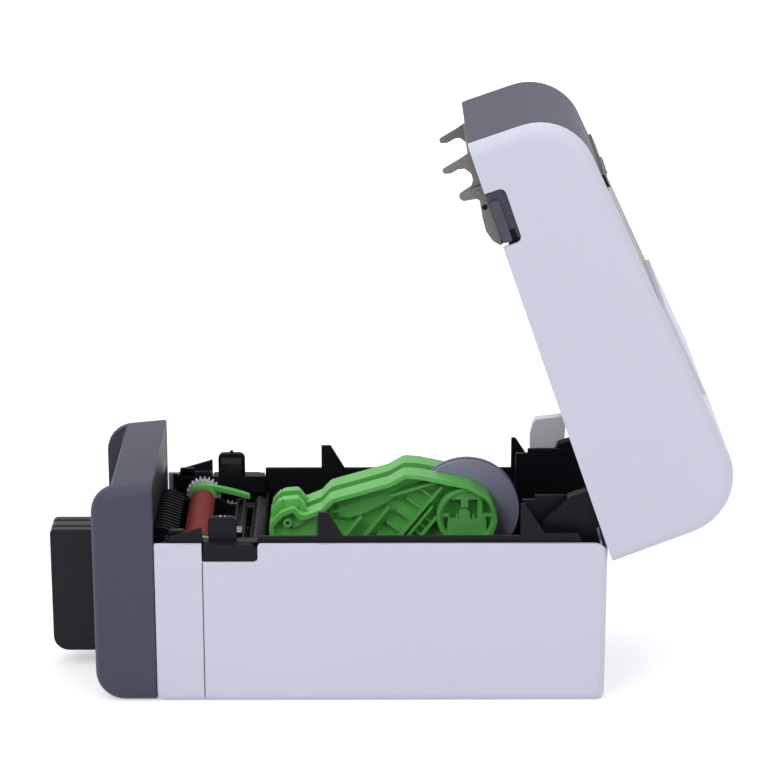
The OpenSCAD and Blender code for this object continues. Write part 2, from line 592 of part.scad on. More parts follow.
module drive_motor() color([0.55, 0.56, 0.58]) mirror([1, 0, 0]) {
    rod_x(pinion_y, pinion_z, motor_r, plate_x0 - 18.2, plate_x0 - 0.2);
    rod_x(pinion_y, pinion_z, 4.4, plate_x0 - 0.3, plate_x1 + 0.4);
    rod_x(pinion_y, pinion_z, motor_shaft_r, plate_x1, gear_x1 + 0.8);
}

// Lever that holds a bush down: a ring on the bush and an arm to press
lever_x0 = cradle_x1 + 0.4;
lever_x1 = lever_x0 + 2.8;
ring_r = 7.2;
module lock_lever() difference() {
    slab_x(lever_x0, lever_x1) union() {
        translate([platen_y, platen_z]) circle(r = ring_r);
        translate([platen_y, platen_z]) polygon(rounded([
            [-1, 2, 0], [4, 1, 3], [25.4, 0.8, 1.4], [26.4, 3.6, 1.4], [17, 6.3, 4], [6.2, 8.2, 3], [0, 7.6, 2]]));
    }
    rod_x(platen_y, platen_z, bush_r + run_fit, lever_x0 - 1, lever_x1 + 1);
}
module platen_lever_near() color([0.4, 0.7, 0.37]) lock_lever();
module platen_lever_far() color([0.4, 0.7, 0.37]) mirror([1, 0, 0]) lock_lever();

// Board with its sockets at the rear wall
board_z = 10;
board_t = 1.6;
board_x = in_w - 6.6;
board_y0 = rack_y + 28;
board_y1 = rear_y - 12;
module main_board() color([0.12, 0.35, 0.2]) {
    block([-board_x, board_x], [board_y0, board_y1], [board_z, board_z + board_t]);
    block([-7 * panel_step, panel_step], [board_y0 + 6, board_y0 + 22], [board_z + board_t, board_z + board_t + 2]);
    block([10 * panel_step, 17 * panel_step], [board_y0 + 8, board_y0 + 16], [board_z + board_t, board_z + board_t + 3]);
}

// Socket shell standing on the board, its mouth flush with the rear face
module socket(p, depth, lip, hole) difference() {
    block([p[0] - p[2] / 2 + seat, p[0] + p[2] / 2 - seat], [rear_y - depth, rear_y - 0.6],
          [p[1] + floor_z - p[3] / 2 + seat, p[1] + floor_z + p[3] / 2 - seat]);
    block([p[0] - p[2] / 2 + seat + lip, p[0] + p[2] / 2 - seat - lip], [rear_y - hole, rear_y],
          [p[1] + floor_z - p[3] / 2 + seat + lip, p[1] + floor_z + p[3] / 2 - seat - lip]);
}
module power_inlet() color([0.1, 0.1, 0.1]) {
    difference() {
        block([INLET[0] - INLET[2] / 2 + seat, INLET[0] + INLET[2] / 2 - seat], [rear_y - 14, rear_y - 0.6],
              [INLET[1] + floor_z - INLET[3] / 2 + seat, INLET[1] + floor_z + INLET[3] / 2 - seat]);
        rod_y(INLET[0], INLET[1] + floor_z, 2.75, rear_y - 10, rear_y);
    }
    rod_y(INLET[0], INLET[1] + floor_z, 1, rear_y - 11, rear_y - 2);
}
module usb_port() color([0.75, 0.75, 0.76]) {
    socket(USB, 16, 0.6, 14);
    block([USB[0] - 2.4, USB[0] + 2.4], [rear_y - 14.5, rear_y - 3], [USB[1] + floor_z + 0.4, USB[1] + floor_z + 2.8]);
}
module network_port() color([0.7, 0.7, 0.71]) socket(NETWORK, 18, 1.2, 15);

// Rocker on its pivots, and the frame that holds them
rocker_w = SWITCH[2] - 4;
rocker_y = rear_y - 5;
rocker_z = SWITCH[1] + floor_z;
rocker_h = SWITCH[3] / 2 - 2;
pivot_r = 1.2;
pivot_h = rocker_h + 1.2;
module switch_frame() color([0.12, 0.12, 0.13]) difference() {
    block([SWITCH[0] - SWITCH[2] / 2 + seat, SWITCH[0] + SWITCH[2] / 2 - seat], [rear_y - 13, rear_y - 0.4],
          [rocker_z - SWITCH[3] / 2 + seat, rocker_z + SWITCH[3] / 2 - seat]);
    block([SWITCH[0] - SWITCH[2] / 2 + 1.6, SWITCH[0] + SWITCH[2] / 2 - 1.6], [rear_y - 9, rear_y],
          [rocker_z - rocker_h - 0.4, rocker_z + rocker_h + 0.4]);
    rod_z(SWITCH[0], rocker_y, pivot_r + run_fit, rocker_z - pivot_h - 0.1, rocker_z + pivot_h + 0.1);
}
module power_rocker() color([0.16, 0.16, 0.17]) {
    slab_z(rocker_z - rocker_h, rocker_z + rocker_h) translate([SWITCH[0], rocker_y]) rotate(-6) polygon(rounded([
        [-rocker_w / 2, 1.2, 0.4], [-3, -2.4, 2], [3, -2.4, 2], [rocker_w / 2, 1.2, 0.4], [rocker_w / 2 - 0.4, 3.4, 0.6],
        [0, 2.6, 8], [0.4 - rocker_w / 2, 3.4, 0.6]]));
    rod_z(SWITCH[0], rocker_y, pivot_r, rocker_z - pivot_h, rocker_z + pivot_h);
}

module hinge_pins() color([0.7, 0.7, 0.72]) both_sides()
    rod_x(hinge_y, hinge_z, hinge_pin_r, pocket_x0 - pocket_t, pocket_x1 + 2);

// Guide under the bay for the racks, with the pin of their pinion
module rack_guide() color([0.2, 0.2, 0.22]) {
    block([-guide_x, guide_x], [rack_y - 18, rack_y + 18], [floor_z + 0.2, rack_z - seat]);
    for (y = [rack_y - 18, rack_y + 15.4])
        block([-guide_x, guide_x], [y, y + 2.6], [rack_z - seat - 0.1, 18.3]);
    rod_z(0, rack_y, 2, rack_z - seat - 0.1, rack_z + rack_h + 1.4);
}

module rack_pinion() color([0.85, 0.85, 0.83]) difference() {
    slab_z(rack_z, rack_z + rack_h - seat) translate([0, rack_y]) gear_outline(rack_m, rack_teeth, 90 + 180 / rack_teeth);
    rod_z(0, rack_y, 2 + run_fit, rack_z - 1, rack_z + rack_h + 1);
}

module rubber_feet() color([0.1, 0.1, 0.1]) for (x = [-1, 1], y = [casing_front + 16, rear_y - 18])
    rod_z(x * foot_x, y, 5.5, 0, skirt_h);

// Screws: the casing's from below, the frame's from above
module screws() color([0.72, 0.72, 0.72]) {
    for (x = [-1, 1], y = [bulkhead_y + 12, roll_y - 8]) {
        rod_z(x * bolt_x, y, 1.5, 12, bay_floor + 0.05);
        rod_z(x * bolt_x, y, 3, bay_floor, bay_floor + 1.6);
    }
}

// Clip for the cover's flat cable, on the far rear fin
module cable_guide() color([0.86, 0.86, 0.85]) slab_x(-frame_w + 0.2, -pocket_x1 - 1) polygon(rounded([
    [pocket_y0 + 14, lip_z + 1.4, 0], [pocket_y0 + 26, lip_z + 1.4, 0], [pocket_y0 + 27, lip_z + 31, 3],
    [pocket_y0 + 10, lip_z + 28.8, 3], [pocket_y0 + 8, lip_z + 21, 1], [pocket_y0 + 8, lip_z + 12.5, 1],
    [pocket_y0 + 14, lip_z + 8.5, 1]]));

// The cover is drawn closed and turned about its hinge to stand open
cover_front = bezel_rear + 0.6;
function top_z(y) = part_z + cover_h - (cover_rear - y) * cover_fall;
COVER = [[cover_front, part_z, 0, 0], [cover_rear, part_z, 0, 1],
         [cover_rear - 3, top_z(cover_rear - 3), cover_rear_r, 1], [cover_front, top_z(cover_front), cover_nose_r, 1]];
nose_x = half_w - nose_side;
bar_y = cover_front + 37.4;
window_y0 = bar_y + 7;
window_y1 = window_y0 + 67;
boss_y1 = window_y1 + 50;
boss_rise = 1.8;
recess_y0 = casing_front + 0.8;
recess_y1 = notch_y + 1.4;
recess_z = part_z + 10.1;
tilt = atan(cover_fall);
module on_cover() translate([0, hinge_y, hinge_z]) rotate([-open_angle, 0, 0])
    translate([0, -hinge_y, -hinge_z]) children();
// Stands children on the closed cover's top at a place along it
module on_top(y) translate([0, y, top_z(y)]) rotate([tilt, 0, 0]) children();

// Strip of the cover's skin between two places, from depth d0 down to depth d1
module skin_strip(w, y0, y1, d0, d1) slab_x(-w, w) intersection() {
    difference() {
        polygon(rounded(inset(COVER, d0), 14));
        polygon(rounded([for (c = inset(COVER, d1)) [c[0], c[1] - (c[1] < part_z + 1 ? 1 : 0), c[2], c[3]]], 14));
    }
    translate([y0, part_z]) square([y1 - y0, 200]);
}

module cover_shell() color([0.85, 0.86, 0.87]) on_cover() difference() {
    union() {
        soft_body(COVER, half_w, cover_edge_r, 9, 5);
        skin_strip(nose_x - 3, window_y1, boss_y1, -boss_rise, 0.4);
    }
    // inside
    soft_body([for (c = inset(COVER, wall_t)) [c[0], c[1] - (c[1] < part_z + 1 ? 2 : 0), c[2], c[3]]],
              in_w, cover_edge_r - wall_t, 9, 3);
    // nose, control bar and window
    block([-nose_x, nose_x], [cover_front - 5, window_y1], [part_z - 1, 250]);
    // recesses for the release tabs
    slab_x(-half_w - 1, half_w + 1) polygon(rounded([
        [recess_y0, part_z - 5, 0], [recess_y1, part_z - 5, 0], [recess_y1, recess_z, 3], [recess_y0, recess_z, 3]]));
}

module cover_nose() color([0.42, 0.42, 0.47]) on_cover() difference() {
    union() {
        skin_strip(nose_x - seat, cover_front - 1, bar_y - seat, 0, wall_t);
        // lip along the inside of the front edge
        block([-nose_x + 4, nose_x - 4], [cover_front + 1, cover_front + 6], [part_z + 2, part_z + 5]);
    }
    block([-nose_x - 1, 2 - nose_x], [cover_front - 1, cover_front + 4], [part_z - 1, part_z + 2]);
}

button_r = 3.1;
lens_x = nose_x - 10;
BUTTON_X = [lens_x - 12, lens_x - 24, lens_x - 36];
module control_panel() color([0.1, 0.1, 0.11]) on_cover() difference() {
    skin_strip(nose_x - 3, bar_y, window_y0 - seat, -1.4, wall_t);
    for (x = BUTTON_X) on_top((bar_y + window_y0) / 2) translate([x, 0, -10]) cylinder(r = button_r + 0.15, h = 20);
    on_top((bar_y + window_y0) / 2) translate([lens_x, 0, -10]) cylinder(r = 1.6, h = 20);
}

module cover_window() color([0.25, 0.25, 0.28, 0.6]) on_cover()
    skin_strip(nose_x - seat, window_y0, window_y1 - seat, 0.4, wall_t);

module button(x) on_cover() on_top((bar_y + window_y0) / 2) translate([x, 0, -3.2]) union() {
    cylinder(r = button_r, h = 5);
    cylinder(r = 1.6, h = 5.8);
}
module button_1() color([0.55, 0.56, 0.6]) button(BUTTON_X[0]);
module button_2() color([0.55, 0.56, 0.6]) button(BUTTON_X[1]);
module button_3() color([0.55, 0.56, 0.6]) button(BUTTON_X[2]);
module status_lens() color([0.3, 0.8, 0.4]) on_cover() on_top((bar_y + window_y0) / 2)
    translate([lens_x, 0, -2.6]) cylinder(r = 1.4, h = 4.2);

// Black liner: side plates that hold the mechanism, and the cross rib for the arms
liner_x1 = frame_in - seat;
liner_x0 = liner_x1 - 1.8;
rib_y = pocket_y0 + 2;
module cover_liner() color([0.13, 0.12, 0.14]) on_cover() difference() {
    union() {
        both_sides() slab_x(liner_x0, liner_x1) intersection() {
            polygon(rounded(inset(COVER, wall_t + 1.4), 12));
            translate([cover_front + 3.2, lip_z]) square([cover_rear - 7 - cover_front - 3.2, 100]);
        }
        skin_strip(liner_x1, cover_front + 26, bar_y - 2, wall_t + 1.4, wall_t + 3.2);
        skin_strip(liner_x1, window_y1 + 2, cover_rear - 34, wall_t + 1.4, wall_t + 3.2);
        // cross rib ahead of the hinge arms
        block([-liner_x1, liner_x1], [rib_y - 2, rib_y], [pocket_top + 6, top_z(rib_y) - wall_t - 1]);
        // column that carries the print head
        block([-sensor_x1, sensor_x1], [platen_y - 8, platen_y - 6], [part_z + 10, top_z(platen_y) - 14]);
        block([-liner_x1, liner_x1], [platen_y - 8, platen_y - 6], [top_z(platen_y) - 28, top_z(platen_y) - 14]);
    }
    // clear of the cable guide as the cover turns, of the latch's web and of the posts
    both_sides() rod_x(hinge_y, hinge_z, 52, arm_x + arm_w + 1, liner_x1 + 1);
    both_sides() block([liner_x0 - 1, liner_x1 + 1], [casing_front - 2, notch_y + 1.6], [part_z - 1, part_z + 18]);
}

// Gooseneck arms that reach into the casing to the hinge pins
arm_reach = 31.2;
module hinge_arms() color([0.2, 0.19, 0.22]) on_cover() both_sides() difference() {
    union() {
        slab_x(arm_x, arm_x + arm_w) union() {
            translate([hinge_y, hinge_z]) circle(r = 4);
            polygon(rounded([
                [hinge_y, hinge_z + 4, 0], [hinge_y - 10, hinge_z + 4.6, 3], [hinge_y - 18, part_z + 14, 8],
                [hinge_y - arm_reach + 6, pocket_top + 18, 2], [hinge_y - arm_reach, pocket_top + 18, 0],
                [hinge_y - arm_reach, hinge_z - 3, 1.5], [hinge_y - 28.6, hinge_z - 4.6, 1.5],
                [hinge_y - 24.9, hinge_z - 15.2, 3], [hinge_y - 22.2, hinge_z - 19.4, 1.5],
                [hinge_y - 18.6, hinge_z - 20.6, 1.5], [hinge_y - 6, hinge_z - 8, 3], [hinge_y, hinge_z - 4, 0]]));
        }
        // rib along the arm's edge
        slab_x(arm_x - 0.4, arm_x + 1) polygon([
            [hinge_y - arm_reach, hinge_z - 3], [hinge_y - arm_reach + 2, hinge_z - 3], [hinge_y - arm_reach + 2, part_z + 6],
            [hinge_y - arm_reach, part_z + 6]]);
    }
    rod_x(hinge_y, hinge_z, hinge_pin_r + run_fit, arm_x - 1, arm_x + arm_w + 1);
}

// Plate on each side behind the release tab, slotted for the latch's web
module release_recesses() color([0.5, 0.5, 0.53]) on_cover() both_sides() difference() {
    slab_x(frame_w - 1.5, in_w - 0.3) polygon(rounded([
        [recess_y0 - 0.6, part_z + 0.2, 0], [recess_y1 - 1.6, part_z + 0.2, 0], [recess_y1 - 1.6, recess_z + 2.4, 2],
        [recess_y0 - 0.6, recess_z + 2.4, 2]]));
    block([frame_w - 3, in_w + 1], [latch_y + 18.6, latch_y + 25], [part_z - 1, part_z + 8.4]);
}

// Latch hooks: a U over each bush, and an arm back to the release web
HOOK = [[-7.1, -7.8, 0.6], [-5.5, -7.4, 0.5], [-4.6, -4.1, 1], [-5.4, 0, 3], [-5.1, 2.6, 2], [-1.4, 5.2, 3], [1.8, 5.2, 3],
        [4.6, 3.4, 2], [5.8, -1.1, 2], [6.5, -3.4, 1], [8.4, -4.3, 1], [10.6, -3.2, 2], [11.8, 3.8, 2], [13.1, 4.8, 1],
        [21.7, 3.3, 4], [28.8, 2.7, 4], [34.6, 4.3, 3], [38.2, 7.3, 1.5], [37.4, 8.8, 1.5], [32.2, 9.7, 0], [32.2, 13.2, 0.5],
        [28.6, 13.2, 0.5], [28.6, 9.7, 0], [13.6, 9.5, 0], [12.6, 10.8, 1], [-12, 10.5, 1], [-12, 9.1, 1], [-10.1, 2.5, 2],
        [-8.1, -6.8, 1]];
module latch_hooks() color([0.4, 0.39, 0.37]) on_cover() both_sides() difference() {
    slab_x(hook_x0, hook_x1) difference() {
        translate([platen_y, platen_z]) polygon(rounded(HOOK, 4));
        translate([platen_y + 17, platen_z + 6.2]) circle(r = 1.4);
    }
    rod_x(latch_y, latch_z, latch_pin_r, hook_x0 - 1, hook_x1 + 1);
}

module latch_shaft() color([0.72, 0.72, 0.74]) on_cover()
    rod_x(latch_y, latch_z, latch_pin_r, -hook_x1 - 1.8, hook_x1 + 1.8);

// Web from each hook out to its finger tab
module release_tabs() color([0.36, 0.37, 0.42]) on_cover() both_sides() {
    block([hook_x1, in_w + 0.6], [latch_y + 20.1, latch_y + 23.7], [part_z + 0.8, part_z + 4.3]);
    slab_x(in_w + 0.3, half_w) polygon(rounded([
        [latch_y + 2, part_z + 0.9, 1.4], [latch_y + 23.7, part_z + 0.9, 1.4], [latch_y + 23.7, part_z + 5.6, 1.4],
        [latch_y + 2, part_z + 5.6, 1.4]]));
}

// Steel bracket over the head, with the lugs that carry the latch shaft
lug_x0 = hook_x1 + 0.4;
lug_x1 = lug_x0 + 1.2;
module head_bracket() color([0.68, 0.68, 0.7]) on_cover() {
    difference() {
        block([-lug_x1, lug_x1], [platen_y - 11.8, latch_y + 3.4], [platen_z + 12, part_z + 9.6]);
        block([-lug_x1 - 1, lug_x1 + 1], [platen_y - 10.6, latch_y + 2.2], [platen_z + 11, part_z + 8.4]);
    }
    both_sides() difference() {
        slab_x(lug_x0, lug_x1) polygon(rounded([
            [latch_y - 3, latch_z - 2.8, 2], [latch_y + 3, latch_z - 2.8, 2], [latch_y + 3, part_z + 8.6, 0],
            [latch_y - 3, part_z + 8.6, 0]]));
        rod_x(latch_y, latch_z, latch_pin_r + run_fit, lug_x0 - 1, lug_x1 + 1);
    }
    block([-sensor_x1, sensor_x1], [platen_y - 5.8, platen_y - 4.4], [part_z + 8.6, part_z + 20]);
}

// Print head: carrier with the heating strip above the platen
module print_head() color([0.16, 0.16, 0.17]) on_cover() {
    block([-platen_x - 0.5, platen_x + 0.5], [platen_y - 9, latch_y - 2.4], [part_z - 0.4, part_z + 3]);
    slab_x(-platen_x, platen_x) polygon([
        [platen_y - 7, part_z - 0.4], [platen_y - 6, platen_z + platen_r + 0.3], [platen_y + 5, platen_z + platen_r + 0.3],
        [platen_y + 6, part_z - 0.4]]);
    block([7.5 - platen_x, platen_x - 7.5], [platen_y - 6, platen_y + 4], [part_z + 2.9, part_z + 8.2]);
}

foot_z = 25;
// Side outline of a roll arm: nose over the label's way, hub, foot down to the rack
ARM = [[-42, 76, 2.5, 1], [-34, 69, 6, 1], [-20, 60, 12, 1], [0, 34, 6, 1], [0, foot_z, 1, 1], [48, foot_z, 1, 1], [53, 40, 6, 1],
       [66, 68, 8, 1], [74, 76, 3, 1], [76.5, 84, 6, 1], [72.5, 97, 7, 1], [62, 103.4, 8, 1], [36, 109, 10, 1], [28, 109.6, 5, 1],
       [20, 104.8, 7, 1], [-10, 96, 4, 1], [-15, 90.5, 4, 1], [-25, 86.4, 5, 1], [-29, 91.4, 2, 1], [-36, 88.6, 4, 1],
       [-42, 82, 2.5, 1]];
rim_t = 2.2;
hub_r = 15.7;
rib_t = 1.3;
rib_w = 8;
// Struts that rise across the web: place at the height strut_z, lower end, upper end
STRUTS = [[-3, 58, 85], [7.4, 52, 90], [26, 40, 101.3], [29.7, 40, 90.5], [36.7, 46, 84.5]];
strut_a = 52;
strut_z = 74;
brace_step = 6.6;
// Land between the nose and the struts
LAND = [[-9, 82, 3, 1], [-1, 80.5, 4, 1], [9, 83.5, 6, 1], [18, 88.5, 6, 1], [27, 93.8, 3, 1], [24.5, 101, 4, 1], [4, 96, 6, 1],
        [-9, 91, 4, 1]];
land_h = 3.6;
// Nose with the thumb grip beside it
nose_y1 = -18;
nose_fill = 8;
boss = [-32.4, 82.7];
grip_w = 5;
GRIP = [[-41, 78, 1], [-40.8, 88, 4], [-36.5, 93.4, 3], [-27, 94.4, 2.2], [-23.5, 90, 4], [-20.5, 82, 3], [-22, 76, 1]];
GRIP_PAD = [[-34, 87.4, 1.2], [-28, 87.8, 1.4], [-26.6, 91, 1], [-27.2, 94.2, 1], [-34.4, 93.6, 1]];

function on_strut(y, z) = [y + (z - strut_z) / tan(strut_a), z];

// Rib between two points of the outline, standing on the web
module rib(a, b, depth) slab_x(web_x0, web_x0 + depth) translate(a)
    rotate(heading(b - a)) translate([0, -rib_t / 2]) square([norm(b - a), rib_t]);

module arm_ribs() {
    for (s = STRUTS)
        rib(on_strut(s[0], s[1]), on_strut(s[0], s[2]), rib_w);
    across = [cos(strut_a + 90), sin(strut_a + 90)];
    // braces before the long strut, and shorter ones between the last two
    for (i = [-3:3])
        rib(on_strut(STRUTS[2][0], strut_z + 1 + i * brace_step), on_strut(STRUTS[2][0], strut_z + 1 + i * brace_step) + 10 * across, 5);
    for (i = [0:2])
        rib(on_strut(STRUTS[4][0], strut_z + i * 3.4), on_strut(STRUTS[4][0], strut_z + i * 3.4) + 5.4 * across, 5);
    rib([20, 96.2], [43, 103.4], rib_w);
    rib([-10.4, 86.6], [-1.5, 88.6], 6);
    rib([-30, 80], [nose_y1 + 4, 88], rib_w + 2);
    rib([2, 36], [46, 58], rib_w);
}

// Windows in the hub's face, drawn about its axis
module hub_windows() {
    difference() {
        translate([-9.2, -1.5]) square([14.7, 10.5]);
        // tongue from above, boss in the middle, and the teeth below it
        translate([-3.1, 4.6]) square([3.7, 6]);
        translate([-1.3, 0.6]) circle(r = 3);
        for (i = [0:4])
            translate([-5.6 + i * 2.1, -2]) square([1, 2.6]);
    }
    for (s = [-1, 1]) scale([s, 1]) {
        polygon([[7.9, 1.2], [12.6, 1.2], [11.6, 5.4], [7.9, 10]]);
        polygon([[9.6, -0.4], [12.8, -0.4], [11.8, -6], [10.4, -8.4]]);
    }
}

// Grip for the thumb, grooved along its front, with a pad on its side
module thumb_grip() {
    slab_x(web_x0, web_x0 + grip_w) difference() {
        polygon(rounded(GRIP, 5));
        for (a = [112:11:190])
            translate(about([-33, 85.6], 8.3, a)) rotate(a + 45) square(1.1, center = true);
    }
    slab_x(web_x0 + grip_w - 0.1, web_x0 + grip_w + 0.9) polygon(rounded(GRIP_PAD, 4));
}

module rack(y_pitch, side, x0, x1) {
    // body of the rack and its teeth, which point towards the pinion
    block([x0, x1], side > 0 ? [y_pitch + 1.3, y_pitch + 5.6] : [y_pitch - 5.6, y_pitch - 1.3], [rack_z, rack_z + rack_h - 0.1]);
    half = PI * rack_m / 4 - backlash / 2;
    slant = tan(press);
    slab_z(rack_z, rack_z + rack_h - 0.1) for (i = [floor(x0 / PI / rack_m) + 1:floor(x1 / PI / rack_m) - 1])
        translate([i * PI * rack_m, y_pitch]) polygon([
            [-half - slant * 1.4, side * 1.4], [half + slant * 1.4, side * 1.4], [half - slant * 0.9, side * -0.9],
            [-half + slant * 0.9, side * -0.9]]);
}

// The arm's outline is drawn for one reach from the bulkhead to the roll, and stretched to the bay's
DRAWN = [60.5, 106.5];
module to_reach() translate([0, roll_y, 0]) scale([1, (roll_y - bulkhead_y) / DRAWN[1], 1])
    translate([0, -DRAWN[0], 0]) children();

module arm_body() {
    difference() {
        union() {
            // rim round a thin web
            slab_x(web_x0, web_x0 + rim_w) difference() {
                polygon(rounded(ARM, 5));
                polygon(rounded(inset(ARM, rim_t), 5));
            }
            slab_x(web_x0, web_x1) polygon(rounded(ARM, 5));
            intersection() {
                slab_x(web_x0, web_x0 + rim_w) polygon(rounded(inset(ARM, rim_t / 2), 5));
                union() {
                    arm_ribs();
                    block([web_x0, web_x0 + nose_fill], [-50, nose_y1], [60, 100]);
                    rod_x(boss[0], boss[1], 2.4, web_x0, web_x0 + rim_w - 0.8);
                }
            }
            hull() {
                slab_x(web_x1 - 0.2, web_x1) polygon(rounded(LAND, 5));
                slab_x(web_x1, web_x1 + land_h) polygon(rounded(inset(LAND, 3), 5));
            }
        }
        rod_x(boss[0], boss[1], 1.1, web_x0 + nose_fill, web_x0 + 20);
        // slit between the nose and the grip
        block([web_x0 + grip_w, web_x0 + grip_w + 1.6], [-50, nose_y1 - 4], [84, 100]);
    }
    thumb_grip();
}

module roll_arm() {
    difference() {
        union() {
            to_reach() arm_body();
            rod_x(roll_y, roll_z, hub_r, web_x0, web_x0 + 9.6);
        }
        // hollow behind the hub's face, the recess in front of it, and its windows
        rod_x(roll_y, roll_z, hub_r - 2.2, web_x1, web_x0 + 6.4);
        rod_x(roll_y, roll_z, hub_r - 1.8, web_x0 + 8.2, web_x0 + 20);
        slab_x(web_x0 + 6, web_x0 + 9) translate([roll_y, roll_z]) hub_windows();
    }
    // pin that the flange disc turns on
    rod_x(roll_y, roll_z, disc_pin_r, disc_x0 + 0.3, web_x0 + 0.1);
    // neck through the floor
    block([web_x0, web_x0 + neck_w], [neck_y - 4, neck_y + 4], [rack_z + rack_h - 0.1, foot_z + 0.6]);
}

module roll_arm_near() color([0.4, 0.7, 0.37]) {
    roll_arm();
    rack(rack_y + rack_r, 1, -rack_x, web_x0 + neck_w);
}

// The far arm is the near one mirrored, with its neck and rack on the pinion's other side
module roll_arm_far() color([0.4, 0.7, 0.37]) {
    mirror([1, 0, 0]) difference() {
        roll_arm();
        block([web_x0 - 1, web_x0 + neck_w + 1], [neck_y - 5, neck_y + 5], [rack_z, foot_z - 0.1]);
    }
    block([-web_x0 - neck_w, -web_x0], [2 * rack_y - neck_y - 4, 2 * rack_y - neck_y + 4], [rack_z + rack_h - 0.1, foot_z + 0.6]);
    rack(rack_y - rack_r, -1, -web_x0 - neck_w, rack_x);
}

// Disc that turns with the roll: stepped rim and an inner ring
module flange_disc() difference() {
    union() {
        rod_x(roll_y, roll_z, flange_r, disc_x0 + 1, disc_x1);
        rod_x(roll_y, roll_z, flange_r - 3, disc_x0 + 0.4, disc_x1);
        rod_x(roll_y, roll_z, 12, disc_x0, disc_x1);
    }
    rod_x(roll_y, roll_z, disc_pin_r + run_fit, disc_x0 - 1, disc_x1 + 1);
    rod_x(roll_y, roll_z, 9.5, disc_x0 - 1, disc_x0 + 0.8);
}
module flange_disc_near() color([0.48, 0.49, 0.53]) flange_disc();
module flange_disc_far() color([0.48, 0.49, 0.53]) mirror([1, 0, 0]) flange_disc();

lower_casing();
front_casing();
bezel();
bezel_liner();
front_module();
inner_frame();
roll_bay();
hinge_pockets();
latch_blocks();
latch_posts();
guide_comb();
platen_cradle();
platen_bushes();
sensor_bar();
media_sensor();
media_ramp();
platen_roller();
platen_shaft();
platen_gear();
idler_gear();
motor_pinion();
drive_plate();
idler_axle();
drive_motor();
platen_lever_near();
platen_lever_far();
main_board();
power_inlet();
usb_port();
network_port();
switch_frame();
power_rocker();
hinge_pins();
rack_guide();
rack_pinion();
rubber_feet();
screws();
cable_guide();
cover_shell();
cover_nose();
control_panel();
cover_window();
button_1();
button_2();
button_3();
status_lens();
cover_liner();
hinge_arms();
release_recesses();
latch_hooks();
latch_shaft();
release_tabs();
head_bracket();
print_head();
roll_arm_near();
roll_arm_far();
flange_disc_near();
flange_disc_far();
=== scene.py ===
import json
import logging
import math
from collections.abc import Sequence
from dataclasses import dataclass, field
from enum import Enum

import bmesh
import bpy
import numpy as np
from mathutils.bvhtree import BVHTree
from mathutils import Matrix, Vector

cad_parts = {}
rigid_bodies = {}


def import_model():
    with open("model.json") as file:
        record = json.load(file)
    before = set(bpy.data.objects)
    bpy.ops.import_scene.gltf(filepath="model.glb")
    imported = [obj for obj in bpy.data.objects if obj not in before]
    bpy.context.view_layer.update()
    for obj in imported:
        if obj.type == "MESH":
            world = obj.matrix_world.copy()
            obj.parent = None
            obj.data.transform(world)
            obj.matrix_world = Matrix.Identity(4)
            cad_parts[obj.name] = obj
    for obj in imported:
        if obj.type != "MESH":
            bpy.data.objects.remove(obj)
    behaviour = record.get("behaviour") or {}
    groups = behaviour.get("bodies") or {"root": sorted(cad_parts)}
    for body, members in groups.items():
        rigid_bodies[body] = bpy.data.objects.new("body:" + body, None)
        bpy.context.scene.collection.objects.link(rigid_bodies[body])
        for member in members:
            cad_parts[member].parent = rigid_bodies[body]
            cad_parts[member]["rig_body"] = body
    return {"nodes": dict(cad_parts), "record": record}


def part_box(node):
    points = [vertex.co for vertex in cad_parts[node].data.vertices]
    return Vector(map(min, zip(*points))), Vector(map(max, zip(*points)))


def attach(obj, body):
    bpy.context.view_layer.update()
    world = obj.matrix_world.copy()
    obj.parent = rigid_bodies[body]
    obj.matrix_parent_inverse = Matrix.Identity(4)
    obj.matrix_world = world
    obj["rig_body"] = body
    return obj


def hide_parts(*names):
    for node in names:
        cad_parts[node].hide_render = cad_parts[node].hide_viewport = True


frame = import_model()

log = logging.getLogger("label_printer")
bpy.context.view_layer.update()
MM = 0.001  # metres in a millimetre
WELD = 1e-6  # metres within which the doubled points of a pole are merged
COVER_RANGE = 70.7  # degrees that the cover turns


class Side(Enum):
    """The two sides of the printer across its width."""

    NEAR = 1
    FAR = -1

    @property
    def word(self) -> str:
        """The side's word in the names of pieces."""
        return self.name.lower()

    def span(self, start: float, end: float) -> list[float]:
        """The places on this side of two distances from the middle, the lower place first."""
        return sorted((self.value * start, self.value * end))


# Finishes


